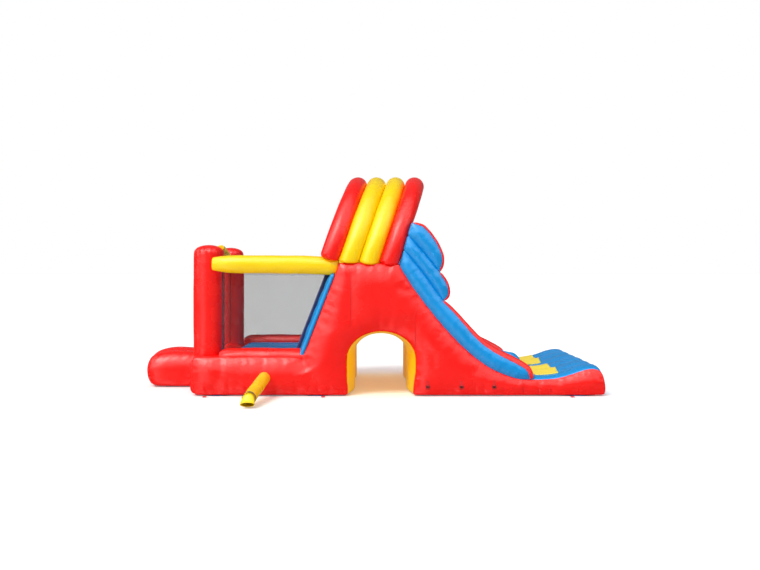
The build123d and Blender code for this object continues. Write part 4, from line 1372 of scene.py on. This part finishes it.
# ---------------------------------------------------------------- nets
def build_side_nets():
    columns, rows = 30, 22
    for sign, tag in SIDES:
        net_y = sign * abs(NET_HI[1] - 2)
        verts = []
        for u in (i / (columns - 1) for i in range(columns)):
            for v in (j / (rows - 1) for j in range(rows)):
                z = 500 + (1470 - 500) * v
                x0 = POST_HI[0] + (4 if sign < 0 else -44)
                x1 = climb_back(z) - 100
                sag = 14 * sin(pi * u) * sin(pi * v)
                verts.append((x0 + (x1 - x0) * u, net_y + sign * sag, z))
        make("side_net_" + tag, verts, grid_faces(columns, rows), NET, nodes=["net_" + tag],
             subdivide=False)

        # bindings along the two upright edges: name, x at z, width, outward shift, material
        bindings = (
            ("post_edge", lambda z: POST_HI[0] + (9 if sign < 0 else -38), 11.0, 2, BLACK_WEB),
            ("wall_edge", lambda z: climb_back(z) - 91, 70.0, 7, NAVY))
        for edge, x_at, width, shift, material in bindings:
            verts = []
            for layer in (-1.8, 1.8):
                for k in range(25):
                    z = 498 + (1474 - 498) * k / 24
                    for q in (-1, -0.5, 0, 0.5, 1):
                        uneven = 0.9 * ripple(z * 0.03 + q, 3.0, 3, 1.0)
                        verts.append((x_at(z) + q * width / 2,
                                      net_y + sign * shift + layer + uneven, z))
            make("net_%s_%s" % (edge, tag), verts, slab_faces(25, 5), material,
                 subdivide=False)


def build_entrance_net():
    """Net across the entrance, which opens as a door about its far edge, and its hems."""
    x = (DOOR_LO[0] + DOOR_HI[0]) / 2
    columns, rows = 40, 26
    verts = []
    for u in (i / (columns - 1) for i in range(columns)):
        for v in (j / (rows - 1) for j in range(rows)):
            y = DOOR_LO[1] + 8 + (DOOR_HI[1] - DOOR_LO[1] - 16) * u
            z = DOOR_LO[2] + 4 + (DOOR_HI[2] - DOOR_LO[2] - 8) * v
            verts.append((x + 10 * sin(pi * u) * sin(pi * v), y, z))
    make("entrance_net_curtain", verts, grid_faces(columns, rows), NET, body="door",
         nodes=["entrance_door"], subdivide=False)

    z0, z1 = DOOR_LO[2] + 5, DOOR_HI[2] - 5
    hems = (    # name, radius, points y, z
        ("hinge", 6.5, [(780, z0), (780, z1)]),
        ("free", 5.0, [(-772, z0), (-772, z1)]),
        ("top", 4.2, [(-770, z1 - 2), (0, z1 + 1), (774, z1 - 2)]),
        ("foot", 4.2, [(-770, z0 + 2), (0, z0), (774, z0 + 2)]))
    for name, hem_radius, points in hems:
        tube("curtain_hem_" + name, resample([(x, y, z) for y, z in points], 40),
             lambda s, total: hem_radius, BLACK_WEB, segments=12, wave=0.5, seed=2.0,
             up=(0.3, 0.9, 0.2), body="door", subdivide=False)


# ---------------------------------------------------------------- ground sheet
def build_ground_sheet():
    """Three thin rectangles under the base, the landing and the step."""
    sheets = [(ENTRY_LO[0] + 110, 934, SEWN_Y - 110),       # x from, x to, half width
              (1762, MAT_HI[0] - 90, SEWN_Y - 110),
              (STEP_LO[0] + 220, STEP_HI[0], STEP_HI[1] - 170)]
    tongues = [(-560, 130.0, 106), (600, 130.0, 100), (3620, 160.0, 104)]   # x, width, reach
    verts, faces = [], []
    for x0, x1, half_w in sheets:
        nx, ny = max(4, int((x1 - x0) / 70)), max(4, int(2 * half_w / 70))
        faces += slab_faces(nx + 1, ny + 1, base=len(verts))
        for top in (True, False):
            for i in range(nx + 1):
                for j in range(ny + 1):
                    x = x0 + (x1 - x0) * i / nx
                    y = -half_w + 2 * half_w * j / ny
                    z = 5.0 if top else 0.8
                    if top and (i in (0, nx) or j in (0, ny)):
                        z += 5.0 * max(0.0, ripple(x * 0.016 + y * 0.01, 9.0, 4, 1.0))
                    if j in (0, ny):
                        reach = 9 * ripple(x * 0.02, 4.0, 4, 1.0)
                        reach += sum(length * exp(-((x - centre) / width) ** 4)
                                     for centre, width, length in tongues)
                        y += reach if j else -reach
                    verts.append((x, y, z))
    make("ground_sheet_cloth", verts, faces, GROUND, nodes=["ground_sheet"], subdivide=False)


# ---------------------------------------------------------------- deflation flap
def build_deflation_flap():
    """Thin flap on the far side, thickened by a rolled upper edge."""
    columns, rows = 28, 12
    verts = []
    for side in (1, -1):
        for u in (i / (columns - 1) for i in range(columns)):
            for v in (j / (rows - 1) for j in range(rows)):
                x = FLAP_LO[0] + (FLAP_HI[0] - FLAP_LO[0]) * u
                z = FLAP_HI[2] - 3 - (FLAP_HI[2] - FLAP_LO[2] - 3) * v
                roll = 3.6 * sqrt(max(0.0, 1 - ((v * 12 - 1) ** 2))) if v < 0.17 else 0.0
                y = 1465.5 + (1.6 + roll) * side + 1.2 * ripple(x * 0.05, 3.0, 4, 1.0) * v
                verts.append((x, y, z))
    make("deflation_flap_cloth", verts, slab_faces(columns, rows), RED, body="vent_flap",
         nodes=["deflation_flap"])


# ---------------------------------------------------------------- CAD pieces kept as they are
def dress_cad_nodes():
    materials = {
        "door_zip_tape": BLACK_WEB, "deflation_zip_tape": BLACK_WEB,
        "climb_handles": BLACK_WEB, "sleeve_tie": BLACK_WEB,
        "door_zip_slider": BLACK_PLASTIC, "deflation_zip_slider": BLACK_PLASTIC,
        "ring_tabs": RED_WEB}
    for _, tag in SIDES:
        for i in (1, 2, 3):
            materials["ring_%s_%d" % (tag, i)] = BLACK_PLASTIC
            materials["anchor_strap_%s_%d" % (tag, i)] = RED_WEB
    for node, material in materials.items():
        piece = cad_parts[node]
        for slot in piece.material_slots:
            slot.material = material
        if not piece.material_slots:
            piece.data.materials.append(material)


# ---------------------------------------------------------------- floor, light and camera
def build_stage():
    """Wide pale floor, a little brighter to the camera and unseen in reflections."""
    mesh = bpy.data.meshes.new("stage_floor")
    corners = [(-90, -60, 0), (90, -60, 0), (90, 160, 0), (-90, 160, 0)]    # metres
    mesh.from_pydata(corners, [], [(0, 1, 2, 3)])
    floor = bpy.data.objects.new("stage_floor", mesh)
    SCENE.collection.objects.link(floor)
    material, tree = new_material("stage_floor", empty=False)
    camera_ray = add_node(tree, "LightPath").outputs["Is Camera Ray"]
    set_inputs(tree, tree.nodes["Principled BSDF"], {
        "Base Color": (0.90, 0.90, 0.90, 1),
        "Roughness": 0.9,
        "Specular IOR Level": 0.1,
        "Emission Color": (1, 1, 1, 1),
        "Emission Strength": math_node(tree, "MULTIPLY", camera_ray, 0.16),
    })
    mesh.materials.append(material)
    floor.visible_glossy = False


def build_world():
    """Soft sky: brighter overhead, white to the camera, with softboxes for reflections."""
    world = bpy.data.worlds.new("studio")
    SCENE.world = world
    world.use_nodes = True
    tree = world.node_tree
    tree.nodes.clear()

    def calc(operation, *values):
        return math_node(tree, operation, *values)

    def length(a, b):
        squares = calc("ADD", calc("MULTIPLY", a, a), calc("MULTIPLY", b, b))
        return calc("ADD", calc("SQRT", squares), 0.001)

    def weighted(a, weight_a, b, weight_b):
        return calc("ADD", calc("MULTIPLY", a, weight_a), calc("MULTIPLY", b, weight_b))

    def glow(value, source, strength):
        return map_range(tree, value, source=source, target=(0.0, strength),
                         interpolation="SMOOTHSTEP")

    direction = add_node(tree, "TexCoord").outputs["Generated"]
    x, y, z = add_node(tree, "SeparateXYZ", {0: direction}).outputs
    near = calc("MULTIPLY", y, -1.0)
    rays = add_node(tree, "LightPath").outputs
    glossy = rays["Is Glossy Ray"]
    fill = map_range(tree, z, source=(-0.05, 0.9), target=(0.34, 0.78))
    # a broad softbox overhead, a little toward -X and the near side
    toward_box = calc("ADD", calc("DIVIDE", weighted(near, 0.50, z, 0.86), length(near, z)),
                      calc("MULTIPLY", x, -0.12))
    softbox = glow(toward_box, source=(0.62, 0.95), strength=4.0)
    # an upright strip of light on the near side, toward -X
    toward_strip = calc("DIVIDE", weighted(x, -0.62, near, 0.78), length(x, near))
    strip = glow(toward_strip, source=(0.955, 0.992), strength=3.2)
    # a pale room on the far side, mirrored at grazing angles
    room = glow(y, source=(0.2, 0.95), strength=0.18)

    mirrored = calc("ADD", calc("ADD", softbox, strip), room)
    strength = calc("ADD", calc("MULTIPLY", mirrored, glossy),
                    calc("MULTIPLY", fill, calc("SUBTRACT", 1.0, glossy)))
    lighting = add_node(tree, "Background", {0: (0.97, 0.985, 1.0, 1), 1: strength})
    backdrop = add_node(tree, "Background", {0: (1, 1, 1, 1), 1: 1.0})
    mix = add_node(tree, "MixShader", {0: rays["Is Camera Ray"], 1: lighting.outputs[0],
                                       2: backdrop.outputs[0]})
    add_node(tree, "OutputWorld", {0: mix.outputs[0]})


def build_key_light():
    """Soft sun from above, the near side and the entrance end."""
    light = bpy.data.lights.new("key", "SUN")
    light.energy = 2.05
    light.angle = radians(24)
    light.color = (1.0, 0.985, 0.96)
    lamp = bpy.data.objects.new("key", light)
    toward = Vector((-0.50, -0.66, 1.0))
    lamp.rotation_euler = (-toward).to_track_quat("-Z", "Y").to_euler()
    lamp.location = (0, 0, 12)
    SCENE.collection.objects.link(lamp)


def build_camera():
    """Level camera looking along +Y from the near side."""
    data = bpy.data.cameras.new("camera")
    data.lens = 51.9
    data.sensor_width = 36.0
    data.shift_x = 0.01052632
    data.shift_y = -0.025
    camera = bpy.data.objects.new("camera", data)
    camera.location = (1.241, -(HALF_W / 1000.0 + 12.6), 1.506)
    camera.rotation_euler = (radians(90), 0, 0)
    SCENE.collection.objects.link(camera)
    SCENE.camera = camera
    SCENE.view_settings.view_transform = "Standard"


# ---------------------------------------------------------------- build
build_seam_cords(build_side_panels())
build_base_rolls()
build_entrance_bolster()
build_bounce_floor()
build_ties("floor_ties", "floor_baffles")
build_ties("slide_ties", "slide_baffles")
build_entrance_step()
build_corner_posts()
build_top_bars()
build_entrance_bar()
build_ring_shade_pads()
build_climbing_wall()
build_tower_platform()
build_tunnel_lining()
build_hood()
build_guards()
build_slide()
build_landing_mat()
build_landing_patch("landing_patch_near", -1215, -125, nodes=["landing_patches"])
build_landing_patch("landing_patch_far", 125, 1215)
build_sleeve()
build_side_nets()
build_entrance_net()
build_ground_sheet()
build_deflation_flap()
dress_cad_nodes()
build_stage()
build_world()
build_key_light()
build_camera()
